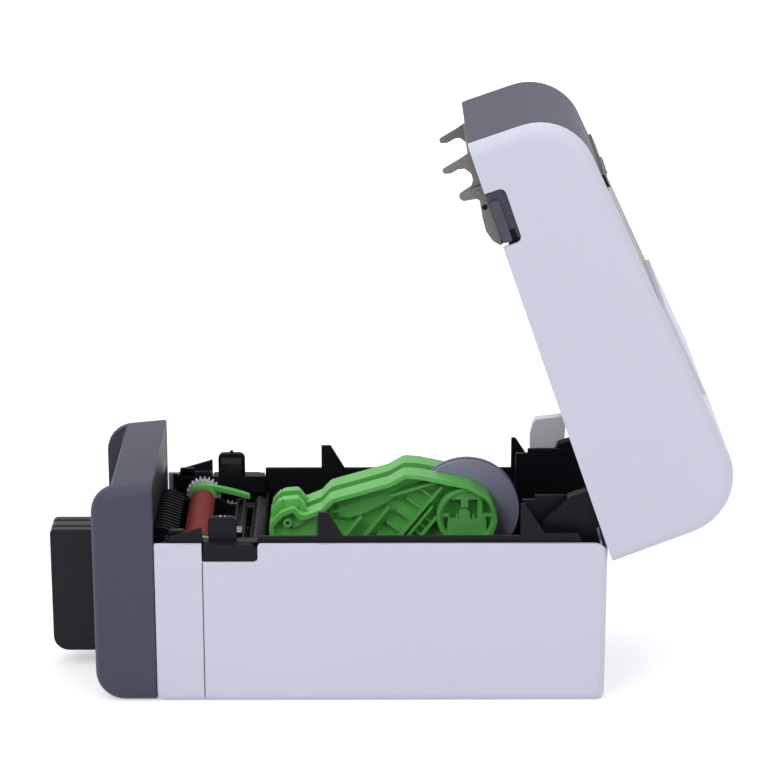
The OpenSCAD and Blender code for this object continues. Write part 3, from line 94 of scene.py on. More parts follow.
class Recipe:
    """A material in the making: the standard shader and the steps that the finishes share.

    Attributes:
        mat: the material.
        nodes: its nodes.
        links: its links.
        shader: its standard shader.
        place: the socket with the piece's own coordinates.
    """

    def __init__(self, name: str) -> None:
        """Makes an empty material around the standard shader.

        Args:
            name: the finish's name.
        """
        self.mat = bpy.data.materials.new(name + "_finish")
        self.mat.use_nodes = True
        self.nodes, self.links = self.mat.node_tree.nodes, self.mat.node_tree.links
        self.shader = self.nodes["Principled BSDF"]
        self.place = self.nodes.new("ShaderNodeTexCoord").outputs["Object"]

    def noise(self, scale: float, detail: float = 2.0,
              stretch: Sequence[float] | None = None) -> bpy.types.NodeSocket:
        """Adds a noise texture over the piece.

        Args:
            scale: grains per metre.
            detail: octaves of the noise.
            stretch: factors along X, Y and Z, if the grains are lines.

        Returns:
            The socket with the noise's value.
        """
        place = self.place
        if stretch is not None:
            mapping = self.nodes.new("ShaderNodeMapping")
            mapping.inputs["Scale"].default_value = stretch
            self.links.new(place, mapping.inputs["Vector"])
            place = mapping.outputs[0]
        texture = self.nodes.new("ShaderNodeTexNoise")
        texture.inputs["Scale"].default_value = scale
        texture.inputs["Detail"].default_value = detail
        self.links.new(place, texture.inputs["Vector"])
        return texture.outputs[0]

    def tint(self, drift: bpy.types.NodeSocket, dark: Sequence[float], light: Sequence[float]) -> None:
        """Lets the colour drift between two.

        Args:
            drift: the noise that chooses between them.
            dark: linear colour where the noise is 0.
            light: linear colour where it is 1.
        """
        mix = self.nodes.new("ShaderNodeMix")
        mix.data_type = "RGBA"
        # a Mix node has an input A and an input B for each type of value
        ends = {"A": dark, "B": light}
        for socket in mix.inputs:
            if socket.type == "RGBA":
                socket.default_value = (*ends[socket.name], 1)
        self.links.new(drift, mix.inputs[0])
        self.links.new(mix.outputs[2], self.shader.inputs["Base Color"])

    def gloss(self, drift: bpy.types.NodeSocket, low: float, high: float) -> None:
        """Lets the roughness drift between two values.

        Args:
            drift: the noise that chooses between them.
            low: roughness where the noise is 0.
            high: roughness where it is 1.
        """
        spread = self.nodes.new("ShaderNodeMapRange")
        spread.inputs["To Min"].default_value = low
        spread.inputs["To Max"].default_value = high
        self.links.new(drift, spread.inputs["Value"])
        self.links.new(spread.outputs[0], self.shader.inputs["Roughness"])

    def bump(self, height: bpy.types.NodeSocket, depth: float, strength: float = 0.5) -> None:
        """Joins a height to the shader's normal.

        Args:
            height: the noise that gives the height.
            depth: depth of the bumps, in metres.
            strength: how much of their effect shows, from 0 to 1.
        """
        bump = self.nodes.new("ShaderNodeBump")
        bump.inputs["Strength"].default_value = strength
        bump.inputs["Distance"].default_value = depth
        self.links.new(height, bump.inputs["Height"])
        self.links.new(bump.outputs[0], self.shader.inputs["Normal"])


@dataclass(frozen=True)
class Moulding:
    """A moulded plastic: its colour, gloss, and the fine grain of the mould.

    Attributes:
        name: the finish's name.
        colour: linear colour of the plastic.
        roughness: how matt the surface is.
        grain: scale of the mould's texture, in grains per metre.
        bump: depth of the texture, in metres.
        mottle: how much the colour drifts over the piece, from 0 to 1.
        shine: strength of the mirror-like part, 0.5 for a plain plastic.
        drift: scale of the drift in colour and gloss, in patches per metre.
        spread: how far the roughness drifts down and up.
    """

    name: str
    colour: tuple[float, float, float]
    roughness: float = 0.5
    grain: float = 1400.0
    bump: float = 0.00004
    mottle: float = 0.05
    shine: float = 0.5
    drift: float = 9.0
    spread: tuple[float, float] = (-0.05, 0.07)

    def build(self) -> bpy.types.Material:
        """Makes the node material."""
        recipe = Recipe(self.name)
        drift = recipe.noise(self.drift, detail=3.0)
        dark = [c * (1 - self.mottle) for c in self.colour]
        light = [min(1.0, c * (1 + self.mottle)) for c in self.colour]
        recipe.tint(drift, dark, light)
        recipe.gloss(drift, *(self.roughness + change for change in self.spread))
        recipe.shader.inputs["Specular IOR Level"].default_value = self.shine
        recipe.bump(recipe.noise(self.grain), self.bump)
        return recipe.mat


@dataclass(frozen=True)
class Metal:
    """A bare metal with fine lines along one axis.

    Attributes:
        name: the finish's name.
        colour: linear colour of the metal.
        roughness: how dull the metal is.
        lines: stretch of the lines along X, Y and Z.
        shade: colour in the lines' hollows, as a share of the metal's.
        spread: how far the roughness drifts down and up.
        bump: depth of the lines, in metres.
    """

    name: str
    colour: tuple[float, float, float]
    roughness: float = 0.32
    lines: tuple[float, float, float] = (40.0, 2200.0, 2200.0)
    shade: float = 0.86
    spread: tuple[float, float] = (-0.08, 0.12)
    bump: float = 0.00002

    def build(self) -> bpy.types.Material:
        """Makes the node material."""
        recipe = Recipe(self.name)
        recipe.shader.inputs["Metallic"].default_value = 1.0
        brushed = recipe.noise(1.0, stretch=self.lines)
        recipe.tint(brushed, [c * self.shade for c in self.colour], self.colour)
        recipe.gloss(brushed, *(self.roughness + change for change in self.spread))
        recipe.bump(brushed, self.bump)
        return recipe.mat


@dataclass(frozen=True)
class Smoked:
    """Smoked clear plastic, such as the window in the cover.

    Attributes:
        name: the finish's name.
        colour: linear colour of the smoke.
        alpha: how much of what lies behind it is hidden, from 0 to 1.
        haze: scale of the drift in its gloss, in patches per metre.
        roughness: lowest and highest roughness.
    """

    name: str
    colour: tuple[float, float, float]
    alpha: float
    haze: float = 60.0
    roughness: tuple[float, float] = (0.2, 0.3)

    def build(self) -> bpy.types.Material:
        """Makes the node material."""
        recipe = Recipe(self.name)
        recipe.shader.inputs["Base Color"].default_value = (*self.colour, 1)
        recipe.shader.inputs["Alpha"].default_value = self.alpha
        recipe.gloss(recipe.noise(self.haze), *self.roughness)
        return recipe.mat


def background_rays(nodes: bpy.types.Nodes, links: bpy.types.NodeLinks) -> bpy.types.NodeSocket:
    """Picks the rays that see the plain background: the camera's, reflections, and those through clear parts.

    Args:
        nodes: the nodes of a material or of the world.
        links: its links.

    Returns:
        A socket that is 1 for such a ray and 0 for light.
    """
    rays = nodes.new("ShaderNodeLightPath")
    total = rays.outputs["Is Camera Ray"]
    for kind in ("Is Glossy Ray", "Is Transmission Ray"):
        either = nodes.new("ShaderNodeMath")
        either.operation = "MAXIMUM"
        links.new(total, either.inputs[0])
        links.new(rays.outputs[kind], either.inputs[1])
        total = either.outputs[0]
    return total


class Finish(Enum):
    """Every finish on the printer, named for what wears it."""

    WHITE = Moulding("white_housing", (0.645, 0.662, 0.77), 0.42, 900.0, 0.00003, 0.012, 0.3)
    BEZEL = Moulding("grey_bezel", (0.067, 0.069, 0.101), 0.52, 1500.0, 0.00006, 0.04, 0.22)
    BLACK = Moulding("black_frame", (0.0066, 0.006, 0.0095), 0.46, 1300.0, 0.00005, 0.1, 0.16)
    GLOSS_BLACK = Moulding("black_gloss", (0.0085, 0.0082, 0.013), 0.34, 1800.0, 0.00002, 0.1, 0.2)
    GREEN = Moulding("green_nylon", (0.145, 0.53, 0.118), 0.38, 700.0, 0.00004, 0.05, 0.3)
    GREY = Moulding("grey_disc", (0.28, 0.285, 0.4), 0.5, 1100.0, 0.00003, 0.04, 0.2)
    TAB = Moulding("grey_release", (0.075, 0.077, 0.104), 0.5, 1200.0, 0.00004, 0.05, 0.22)
    RUBBER = Moulding("platen_rubber", (0.19, 0.022, 0.017), 0.6, 2600.0, 0.00004, 0.08, 0.2)
    FOOT = Moulding("foot_rubber", (0.012, 0.012, 0.012), 0.8, 900.0, 0.00008, 0.15, 0.3)
    GEAR = Moulding("gear_acetal", (0.6, 0.62, 0.66), 0.4, 800.0, 0.00003, 0.03, 0.4)
    # the cable guide's colour is raised well above the housing's white as painted light, to make up for the
    # shade that the overhanging cover casts on it; the guide itself is white plastic
    GUIDE = Moulding("white_guide", (0.9, 0.9, 0.95), 0.5, 800.0, 0.00003, 0.02, 0.3)
    BOARD = Moulding("solder_mask", (0.01, 0.09, 0.035), 0.3, 400.0, 0.00002, 0.15)
    LENS = Moulding("status_lens", (0.1, 0.5, 0.16), 0.15, 400.0, 0.00001, 0.05)
    MARK = Moulding("white_print", (0.62, 0.63, 0.66), 0.6, 500.0, 0.00001, 0.02, 0.2)
    STEEL = Metal("plated_steel", (0.62, 0.62, 0.64), 0.3)
    HOOK_STEEL = Metal("stamped_steel", (0.19, 0.178, 0.17), 0.42, (60.0, 900.0, 900.0))
    GOLD = Metal("gold_contact", (0.8, 0.6, 0.28), 0.25)
    BRASS = Metal("turned_brass", (0.75, 0.55, 0.25), 0.28)
    SMOKE = Smoked("window_smoke", (0.02, 0.02, 0.024), 0.72)

    def material(self) -> bpy.types.Material:
        """The finish's material, made once."""
        return bpy.data.materials.get(self.value.name + "_finish") or self.value.build()


NODE_FINISH: dict[Finish, str] = {
    Finish.WHITE: "lower_casing front_casing cover_shell",
    Finish.GUIDE: "cable_guide",
    Finish.BEZEL: "bezel cover_nose",
    Finish.TAB: "release_tabs release_recesses",
    Finish.BLACK: "bezel_liner inner_frame roll_bay hinge_pockets latch_blocks guide_comb media_ramp"
                  " cover_liner hinge_arms rack_guide platen_cradle sensor_bar platen_bushes",
    Finish.GLOSS_BLACK: "front_module control_panel print_head power_inlet switch_frame power_rocker"
                        " media_sensor",
    Finish.SMOKE: "cover_window",
    Finish.GREEN: "roll_arm_near roll_arm_far",
    Finish.GREY: "flange_disc_near flange_disc_far button_1 button_2 button_3",
    Finish.FOOT: "rubber_feet",
    Finish.STEEL: "platen_shaft hinge_pins idler_axle drive_plate network_port usb_port drive_motor",
    Finish.HOOK_STEEL: "latch_hooks head_bracket latch_shaft",
    Finish.GEAR: "platen_gear idler_gear rack_pinion",
    Finish.BRASS: "motor_pinion",
    Finish.BOARD: "main_board",
    Finish.LENS: "status_lens",
}


def wear(obj: bpy.types.Object, finish: Finish) -> None:
    """Gives a piece one finish all over."""
    obj.data.materials.clear()
    obj.data.materials.append(finish.material())


# Surfaces, each worked out on a grid of points


def node_box(name: str) -> tuple[np.ndarray, np.ndarray]:
    """The lowest and highest corners of a node at rest, in millimetres."""
    lo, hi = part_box(name)
    return np.array(lo) / MM, np.array(hi) / MM


def add_object(name: str, data: bpy.types.ID) -> bpy.types.Object:
    """Makes an object of its data and links it to the scene."""
    obj = bpy.data.objects.new(name, data)
    bpy.context.scene.collection.objects.link(obj)
    return obj


def body_of(name: str) -> str:
    """The body that a node rides on."""
    return frame["nodes"][name]["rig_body"]


def lay_grid(name: str, grids: Sequence[np.ndarray], finish: Finish, body: str,
             crease: float = 35.0) -> bpy.types.Object:
    """Makes one piece from closed surfaces, each a grid of points whose rows close on themselves.

    Point (i, j) of a grid joins (i, j + 1) along its row and (i + 1, j) in the next row. A first or last
    row that shrinks to one point is a pole, whose doubled points are merged.

    Args:
        name: the piece's name.
        grids: for each surface, rows by columns by XYZ in millimetres.
        finish: what the piece wears.
        body: the body that it rides on.
        crease: angle above which an edge stays sharp, in degrees.

    Returns:
        The new object.
    """
    points, quads, base = [], [], 0
    for grid in grids:
        rows, cols = grid.shape[:2]
        starts = base + cols * np.arange(rows - 1)[:, None]
        here, right = starts + np.arange(cols), starts + (np.arange(cols) + 1) % cols
        quads.append(np.stack([here, right, right + cols, here + cols], axis=-1).reshape(-1, 4))
        points.append(grid.reshape(-1, 3))
        base += rows * cols
    mesh = bpy.data.meshes.new(name)
    mesh.from_pydata((np.concatenate(points) * MM).tolist(), [], np.concatenate(quads).tolist())
    work = bmesh.new()
    work.from_mesh(mesh)
    bmesh.ops.remove_doubles(work, verts=work.verts, dist=WELD)
    bmesh.ops.recalc_face_normals(work, faces=work.faces)
    work.to_mesh(mesh)
    work.free()
    mesh.shade_smooth()
    mesh.set_sharp_from_angle(angle=math.radians(crease))
    obj = add_object(name, mesh)
    wear(obj, finish)
    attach(obj, body)
    log.info("%s: %d faces", name, len(mesh.polygons))
    return obj


class Plane(Enum):
    """The plane that an outline lies in, as the axes of its two coordinates and of its depth."""

    YZ = (1, 2, 0)
    XZ = (0, 2, 1)
    XY = (0, 1, 2)


def pad(outline: np.ndarray, plane: Plane, low: float, high: float, chamfer: float = 0.3) -> np.ndarray:
    """A solid of one outline with both rims chamfered, as a grid from pole to pole.

    The rows are the centre, the outline drawn in by the chamfer, the outline twice, the drawn-in outline
    again and the centre, so the outline has to be seen whole from its centre.

    Args:
        outline: points by two coordinates, in millimetres.
        plane: the plane that it lies in.
        low: where the solid starts along its depth.
        high: where it ends.
        chamfer: width of the chamfers.

    Returns:
        The grid, six rows of points.
    """
    centre = (outline.min(axis=0) + outline.max(axis=0)) / 2
    reach = np.linalg.norm(outline - centre, axis=1, keepdims=True)
    drawn = centre + (outline - centre) * (1 - chamfer / reach)
    pole = np.repeat(centre[None, :], len(outline), axis=0)
    rows = [(pole, low), (drawn, low), (outline, low + chamfer),
            (outline, high - chamfer), (drawn, high), (pole, high)]
    grid = np.zeros((len(rows), len(outline), 3))
    for i, (flat, depth) in enumerate(rows):
        grid[i, :, plane.value[0]] = flat[:, 0]
        grid[i, :, plane.value[1]] = flat[:, 1]
        grid[i, :, plane.value[2]] = depth
    return grid


def round_box(lo: Sequence[float], hi: Sequence[float], radius: float, steps: int = 5) -> np.ndarray:
    """Outline of a rectangle with round corners: quarter circles about the corner centres, in order.

    Args:
        lo: the lowest corner.
        hi: the highest corner.
        radius: radius of the corners.
        steps: points on a corner.

    Returns:
        Points by two coordinates.
    """
    lo, hi = np.array(lo, float), np.array(hi, float)
    turn = np.linspace(0, math.pi / 2, steps)
    arcs = []
    for quarter, at in enumerate((hi, (lo[0], hi[1]), lo, (hi[0], lo[1]))):
        angle = turn + quarter * math.pi / 2
        centre = np.clip(np.array(at), lo + radius, hi - radius)
        arcs.append(centre + radius * np.stack([np.cos(angle), np.sin(angle)], axis=-1))
    return np.concatenate(arcs)


def lathe(profile: np.ndarray, centre: Sequence[float], axis: int, sides: int = 64) -> np.ndarray:
    """A surface of revolution: each profile point (radius, place) goes round a circle about the axis.

    Args:
        profile: points by radius and place along the axis, in millimetres.
        centre: a point that the axis passes through.
        axis: 0, 1 or 2 for an axis along X, Y or Z.
        sides: points round a circle.

    Returns:
        The grid, one row for each profile point.
    """
    turn = np.linspace(0, 2 * math.pi, sides, endpoint=False)
    across = [i for i in range(3) if i != axis]
    grid = np.zeros((len(profile), sides, 3))
    grid[:, :, across[0]] = centre[across[0]] + profile[:, :1] * np.cos(turn)
    grid[:, :, across[1]] = centre[across[1]] + profile[:, :1] * np.sin(turn)
    grid[:, :, axis] = profile[:, 1:2]
    return grid


@dataclass
class PlatenSet:
    """The rubber roller and the levers that hold its bushes down.

    Attributes:
        crown: how much the rubber tapers towards its ends, in millimetres.
        end_round: radius of the rubber's edges.
        bush_r: radius of the bush inside a lever's ring.
        ring_r: outer radius of the ring.
        arm_len: reach of a lever's arm behind the axis.
        arm_high: height of the arm's root above the axis.
        arm_fall: how fast the arm falls, and how fast its fall grows.
        arm_half: half height of the arm at its root and at its tip.
        rim: width of the chamfers on the ring.
        arm_square: how boxy the arm's section is: 1 for an ellipse, 0 for a rectangle.
        arm_blunt: how suddenly the arm closes at its ends.
        arm_full: how much of its width the arm keeps where its height falls.
    """

    crown: float = 0.08
    end_round: float = 0.5
    bush_r: float = 4.25
    ring_r: float = 7.2
    arm_len: float = 25.6
    arm_high: float = 5.6
    arm_fall: tuple[float, float] = (0.12, 0.0044)
    arm_half: tuple[float, float] = (1.9, 1.6)
    rim: float = 0.4
    arm_square: float = 0.4
    arm_blunt: int = 40
    arm_full: float = 1.15

    def roller(self) -> None:
        """Turns the rubber sleeve: radius R less crown times the square of the place, with round edges."""
        lo, hi = node_box("platen_roller")
        centre = (lo + hi) / 2
        half, radius = (hi[0] - lo[0]) / 2, (hi[2] - lo[2]) / 2
        along = np.linspace(-1, 1, 41) * (half - self.end_round)
        skin = np.stack([radius - self.crown * (along / half) ** 2, along], axis=-1)
        turn = np.linspace(0, math.pi / 2, 6)[1:]
        edge = np.stack([np.cos(turn) - 1, np.sin(turn)], axis=-1) * self.end_round
        right = skin[-1] + edge
        left = (skin[0] + edge * [1, -1])[::-1]
        shaft_lo, shaft_hi = node_box("platen_shaft")
        bore = (shaft_hi[1] - shaft_lo[1]) / 2
        core = np.array([[bore, half], [bore, -half]])
        profile = np.concatenate([left, skin, right, core, left[:1]])
        profile[:, 1] += centre[0]
        piece = lay_grid("roller_rubber", [lathe(profile, centre, 0, 96)], Finish.RUBBER, "platen")
        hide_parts("platen_roller")

    def lever(self, side: Side) -> None:
        """Makes one lever: a ring on the bush, and an arm whose height falls with the square of its reach.

        Args:
            side: the side that it stands on.
        """
        name = f"platen_lever_{side.word}"
        lo, hi = node_box(name)
        axis = (np.add(*node_box("platen_roller"))) / 2
        ring = np.array([
            [self.bush_r, lo[0]], [self.ring_r - self.rim, lo[0]], [self.ring_r, lo[0] + self.rim],
            [self.ring_r, hi[0] - self.rim], [self.ring_r - self.rim, hi[0]], [self.bush_r, hi[0]],
            [self.bush_r, lo[0]]])
        reach = np.linspace(0, self.arm_len, 28)
        middle = self.arm_high - self.arm_fall[0] * reach - self.arm_fall[1] * reach ** 2
        half = np.interp(reach, [0, self.arm_len], self.arm_half)
        # the section shrinks to a point over the last steps at each end
        half = half * np.sqrt(np.clip(1 - ((reach / self.arm_len - 0.5) * 2) ** self.arm_blunt, 0, 1))
        turn = np.linspace(0, 2 * math.pi, 24, endpoint=False)
        wide = np.sign(np.cos(turn)) * np.abs(np.cos(turn)) ** self.arm_square * (hi[0] - lo[0]) / 2
        tall = np.sign(np.sin(turn)) * np.abs(np.sin(turn)) ** self.arm_square
        arm = np.zeros((len(reach), len(turn), 3))
        shrink = (half / half.max())[:, None]
        arm[:, :, 0] = (lo[0] + hi[0]) / 2 + wide * np.minimum(1, shrink * self.arm_full)
        arm[:, :, 1] = axis[1] + reach[:, None]
        arm[:, :, 2] = axis[2] + middle[:, None] + half[:, None] * tall
        piece = lay_grid(f"bush_lever_{side.word}", [lathe(ring, axis, 0), arm], Finish.GREEN,
                         body_of(name), crease=50.0)
        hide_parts(name)

    def build(self) -> None:
        """Makes the roller and both levers."""
        self.roller()
        for side in Side:
            self.lever(side)


@dataclass
class LatchPosts:
    """The guide posts beside the platen: a plate with round corners and a lower step inside it.

    A place inside a post is measured from the post's outer face towards the middle.

    Attributes:
        ahead: how far a plate stands ahead of its CAD post.
        behind: how far it stands behind it.
        top: height of the plates.
        plate_t: thickness of a plate.
        corner: radius of a plate's corners, of which the lower ones are cut off at its foot.
        step_in: places inside the post of the step's outer face, of its upper edge and of its inner face.
        step_top: heights of the step's slope at its two ends.
        step_short: how far the step stops short of the plate's front and rear.
        stud_in: place inside the far post of the stud's axis.
        stud: profile of the stud, as radii and heights above the plate's top.
        tick_in: for each tick, the places inside the post of its two ends.
        tick_y: front and rear of the first tick.
        tick_step: how far the second tick lies behind the first.
        tick_z: the ticks' underside and face, from the plate's top.
    """

    ahead: float = 0.9
    behind: float = 0.4
    top: float = 99.4
    plate_t: float = 3.1
    corner: float = 3.0
    step_in: tuple[float, float, float] = (2.0, 3.3, 5.4)
    step_top: tuple[float, float] = (94.4, 97.0)
    step_short: tuple[float, float] = (1.4, 1.6)
    stud_in: float = 1.6
    stud: tuple[tuple[float, float], ...] = ((0.0, -0.3), (0.9, -0.3), (0.9, 0.9), (0.54, 1.3), (0.0, 1.3))
    tick_in: tuple[tuple[float, float], ...] = ((2.6, 0.7), (2.1, 1.2))
    tick_y: tuple[float, float] = (-65.6, -64.9)
    tick_step: float = 2.2
    tick_z: tuple[float, float] = (-0.05, 0.06)

    def ticks(self) -> None:
        """Prints the ticks on top of the near post."""
        outer = node_box("latch_posts")[1][0]
        marks = []
        for i, (start, end) in enumerate(self.tick_in):
            front, rear = (y + self.tick_step * i for y in self.tick_y)
            mark = round_box((outer - start, front), (outer - end, rear), radius=0.2, steps=3)
            marks.append(pad(mark, Plane.XY, *(self.top + z for z in self.tick_z), chamfer=0.03))
        lay_grid("post_ticks", marks, Finish.MARK, "base")

    def build(self) -> None:
        """Makes both posts, the stud on the far one and the ticks on the near one."""
        lo, hi = node_box("latch_posts")
        front, rear = lo[1] - self.ahead, hi[1] + self.behind
        foot, outer = lo[2], hi[0]
        low, high = self.step_top
        for side in Side:
            plate = pad(round_box((front, foot - self.corner), (rear, self.top), self.corner, steps=8),
                        Plane.YZ, *side.span(outer - self.plate_t, outer), chamfer=0.5)
            plate[:, :, 2] = np.maximum(plate[:, :, 2], foot)
            start, edge, inner = (side.value * (outer - depth) for depth in self.step_in)
            outline = np.array([[start, foot], [start, high], [edge, high], [inner, low], [inner, foot]])
            step = pad(outline, Plane.XZ, front + self.step_short[0], rear - self.step_short[1])
            grids = [plate, step]
            if side is Side.FAR:
                axis = (side.value * (outer - self.stud_in), (front + rear) / 2, 0)
                grids.append(lathe(np.array(self.stud) + [0, self.top], axis, 2, 24))
            piece = lay_grid(f"guide_post_{side.word}", grids, Finish.BLACK, "base")
            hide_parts("latch_posts")
        self.ticks()


@dataclass
class FrameRails:
    """Rounded rails that close the frame's top ahead of the latch posts, with a low boss on each.

    Attributes:
        low: underside of a rail.
        top: height of a rail.
        boss: height of its boss.
        outer: distance of a rail's outer face from the middle, inside the closed cover's wall.
        inner: distance of its inner face, by side.
        boss_x: distances of the boss's two faces, inside the closed cover's liner.
        gaps: how far a rail starts behind the frame's front and ends ahead of the latch posts.
        nose: points of a rail's rounded front, as distances behind its front and under its top.
        tail: width of the chamfer at its rear.
        boss_y: front and rear of the boss, behind the rail's front.
        sunk: how far the boss reaches down into the rail.
    """

    low: float = 84.4
    top: float = 89.4
    boss: float = 91.4
    outer: float = 51.4
    inner: dict[Side, float] = field(default_factory=lambda: {Side.NEAR: 42.4, Side.FAR: 46.0})
    boss_x: tuple[float, float] = (44.4, 48.1)
    gaps: tuple[float, float] = (2.2, 4.4)
    nose: tuple[tuple[float, float], ...] = ((0.0, 3.2), (1.2, 1.6), (3.0, 0.4), (4.0, 0.0))
    tail: float = 0.8
    boss_y: tuple[float, float] = (1.8, 9.8)
    sunk: float = 2.0

    def build(self) -> None:
        """Makes the rails: a side outline carried across, and the boss's carried across a part of it."""
        front = node_box("inner_frame")[0][1] + self.gaps[0]
        rear = node_box("latch_posts")[0][1] - self.gaps[1]
        rail = np.array([(front, self.low), *((front + back, self.top - down) for back, down in self.nose),
                         (rear - self.tail, self.top), (rear, self.top - self.tail), (rear, self.low)])
        boss = round_box((front + self.boss_y[0], self.top - self.sunk), (front + self.boss_y[1], self.boss),
                         radius=0.9, steps=6)
        for side in Side:
            inner = self.inner[side]
            start, end = self.boss_x
            grids = [pad(rail, Plane.YZ, *side.span(inner, self.outer), chamfer=0.7),
                     pad(boss, Plane.YZ, *side.span(max(start, inner), end), chamfer=0.4)]
            lay_grid(f"frame_rail_{side.word}", grids, Finish.BLACK, "base", crease=25.0)


@dataclass
class Screws:
    """Pan-head screws with a cross recess, in the floor of the roll bay.

    Attributes:
        head_r: radius of a head.
        head_h: height of a head.
        rim: how far the dome's foot lies inside and under the head's outline.
        shoulder: how far the head's straight side ends under its top.
        dome: rise of its crown.
        cross_half: half width of the recess's arms.
        cross_len: reach of the arms.
        cross_deep: depth of the recess.
        cross_side: width over which the recess's sides fall.
        cross_end: share of the arms' reach over which their ends rise.
        shank_r: radius of the shank.
        point_r: radius of the point.
        point_len: length over which the shank narrows to it.
    """

    head_r: float = 3.0
    head_h: float = 1.6
    rim: float = 0.3
    shoulder: float = 0.7
    dome: float = 0.35
    cross_half: float = 0.42
    cross_len: float = 1.75
    cross_deep: float = 0.9
    cross_side: float = 0.15
    cross_end: float = 0.25
    shank_r: float = 1.5
    point_r: float = 0.4
    point_len: float = 1.0

    def screw(self, x: float, y: float, seat: float, length: float) -> np.ndarray:
        """One screw as a grid from the head's middle to the shank's end.

        The head's height is its rim plus the dome, less the recess: a cross that fades to nothing past
        its arms.

        Args:
            x: place across.
            y: place along.
            seat: height of the face that the head rests on.
            length: length of the shank.

        Returns:
            The grid.
        """
        turn = np.linspace(0, 2 * math.pi, 48, endpoint=False)
        radii = np.linspace(0, self.head_r - self.rim, 19)
        r, a = np.meshgrid(radii, turn, indexing="ij")
        u, v = np.abs(r * np.cos(a)), np.abs(r * np.sin(a))
        beside = np.clip((self.cross_half - np.minimum(u, v)) / self.cross_side, 0, 1)
        along = np.clip((1 - np.maximum(u, v) / self.cross_len) / self.cross_end, 0, 1)
        crown = self.head_h - self.rim + self.dome * (1 - (r / self.head_r) ** 2)
        height = crown - self.cross_deep * (beside * along)
        side = np.array([
            (self.head_r, self.head_h - self.shoulder), (self.head_r, 0), (self.shank_r, 0),
            (self.shank_r, self.point_len - length), (self.point_r, -length), (0, -length)])
        r = np.concatenate([r, np.repeat(side[:, :1], len(turn), axis=1)])
        height = np.concatenate([height, np.repeat(side[:, 1:], len(turn), axis=1)])
        a = np.repeat(turn[None, :], len(r), axis=0)
        return np.stack([x + r * np.cos(a), y + r * np.sin(a), seat + height], axis=-1)

    def build(self) -> None:
        """Makes a screw at each corner of the CAD screws' box."""
        lo, hi = node_box("screws")
        seat = hi[2] - self.head_h
        bay = [self.screw(x, y, seat, seat - lo[2]) for x in (lo[0] + self.head_r, hi[0] - self.head_r)
               for y in (lo[1] + self.head_r, hi[1] - self.head_r)]
        piece = lay_grid("bay_screws", bay, Finish.STEEL, "base")
        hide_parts("screws")


@dataclass
class SensorMarks:
    """White printed lines on top of the label sensor.

    Attributes:
        count: how many lines.
        line_w: width of a line.
        end_gap: bare length at each end of a line.
        stagger: how much later every second line starts.
        sunk: how far the print reaches into the sensor.
        raise_by: thickness of the print.
    """

    count: int = 4
    line_w: float = 0.8
    end_gap: float = 0.5
    stagger: float = 1.6
    sunk: float = 0.02
    raise_by: float = 0.08

    def build(self) -> None:
        """Prints the lines along the sensor's length, spread evenly across it."""
        lo, hi = node_box("media_sensor")
        step = (hi[0] - lo[0]) / self.count
        lines = []
        for i in range(self.count):
            x = lo[0] + step * (i + 0.5)
            front = lo[1] + self.end_gap + self.stagger * (i % 2)
            line = round_box((x - self.line_w / 2, front), (x + self.line_w / 2, hi[1] - self.end_gap),
                             radius=0.3, steps=3)
            lines.append(pad(line, Plane.XY, hi[2] - self.sunk, hi[2] + self.raise_by, chamfer=0.03))
        lay_grid("sensor_lines", lines, Finish.MARK, body_of("media_sensor"))


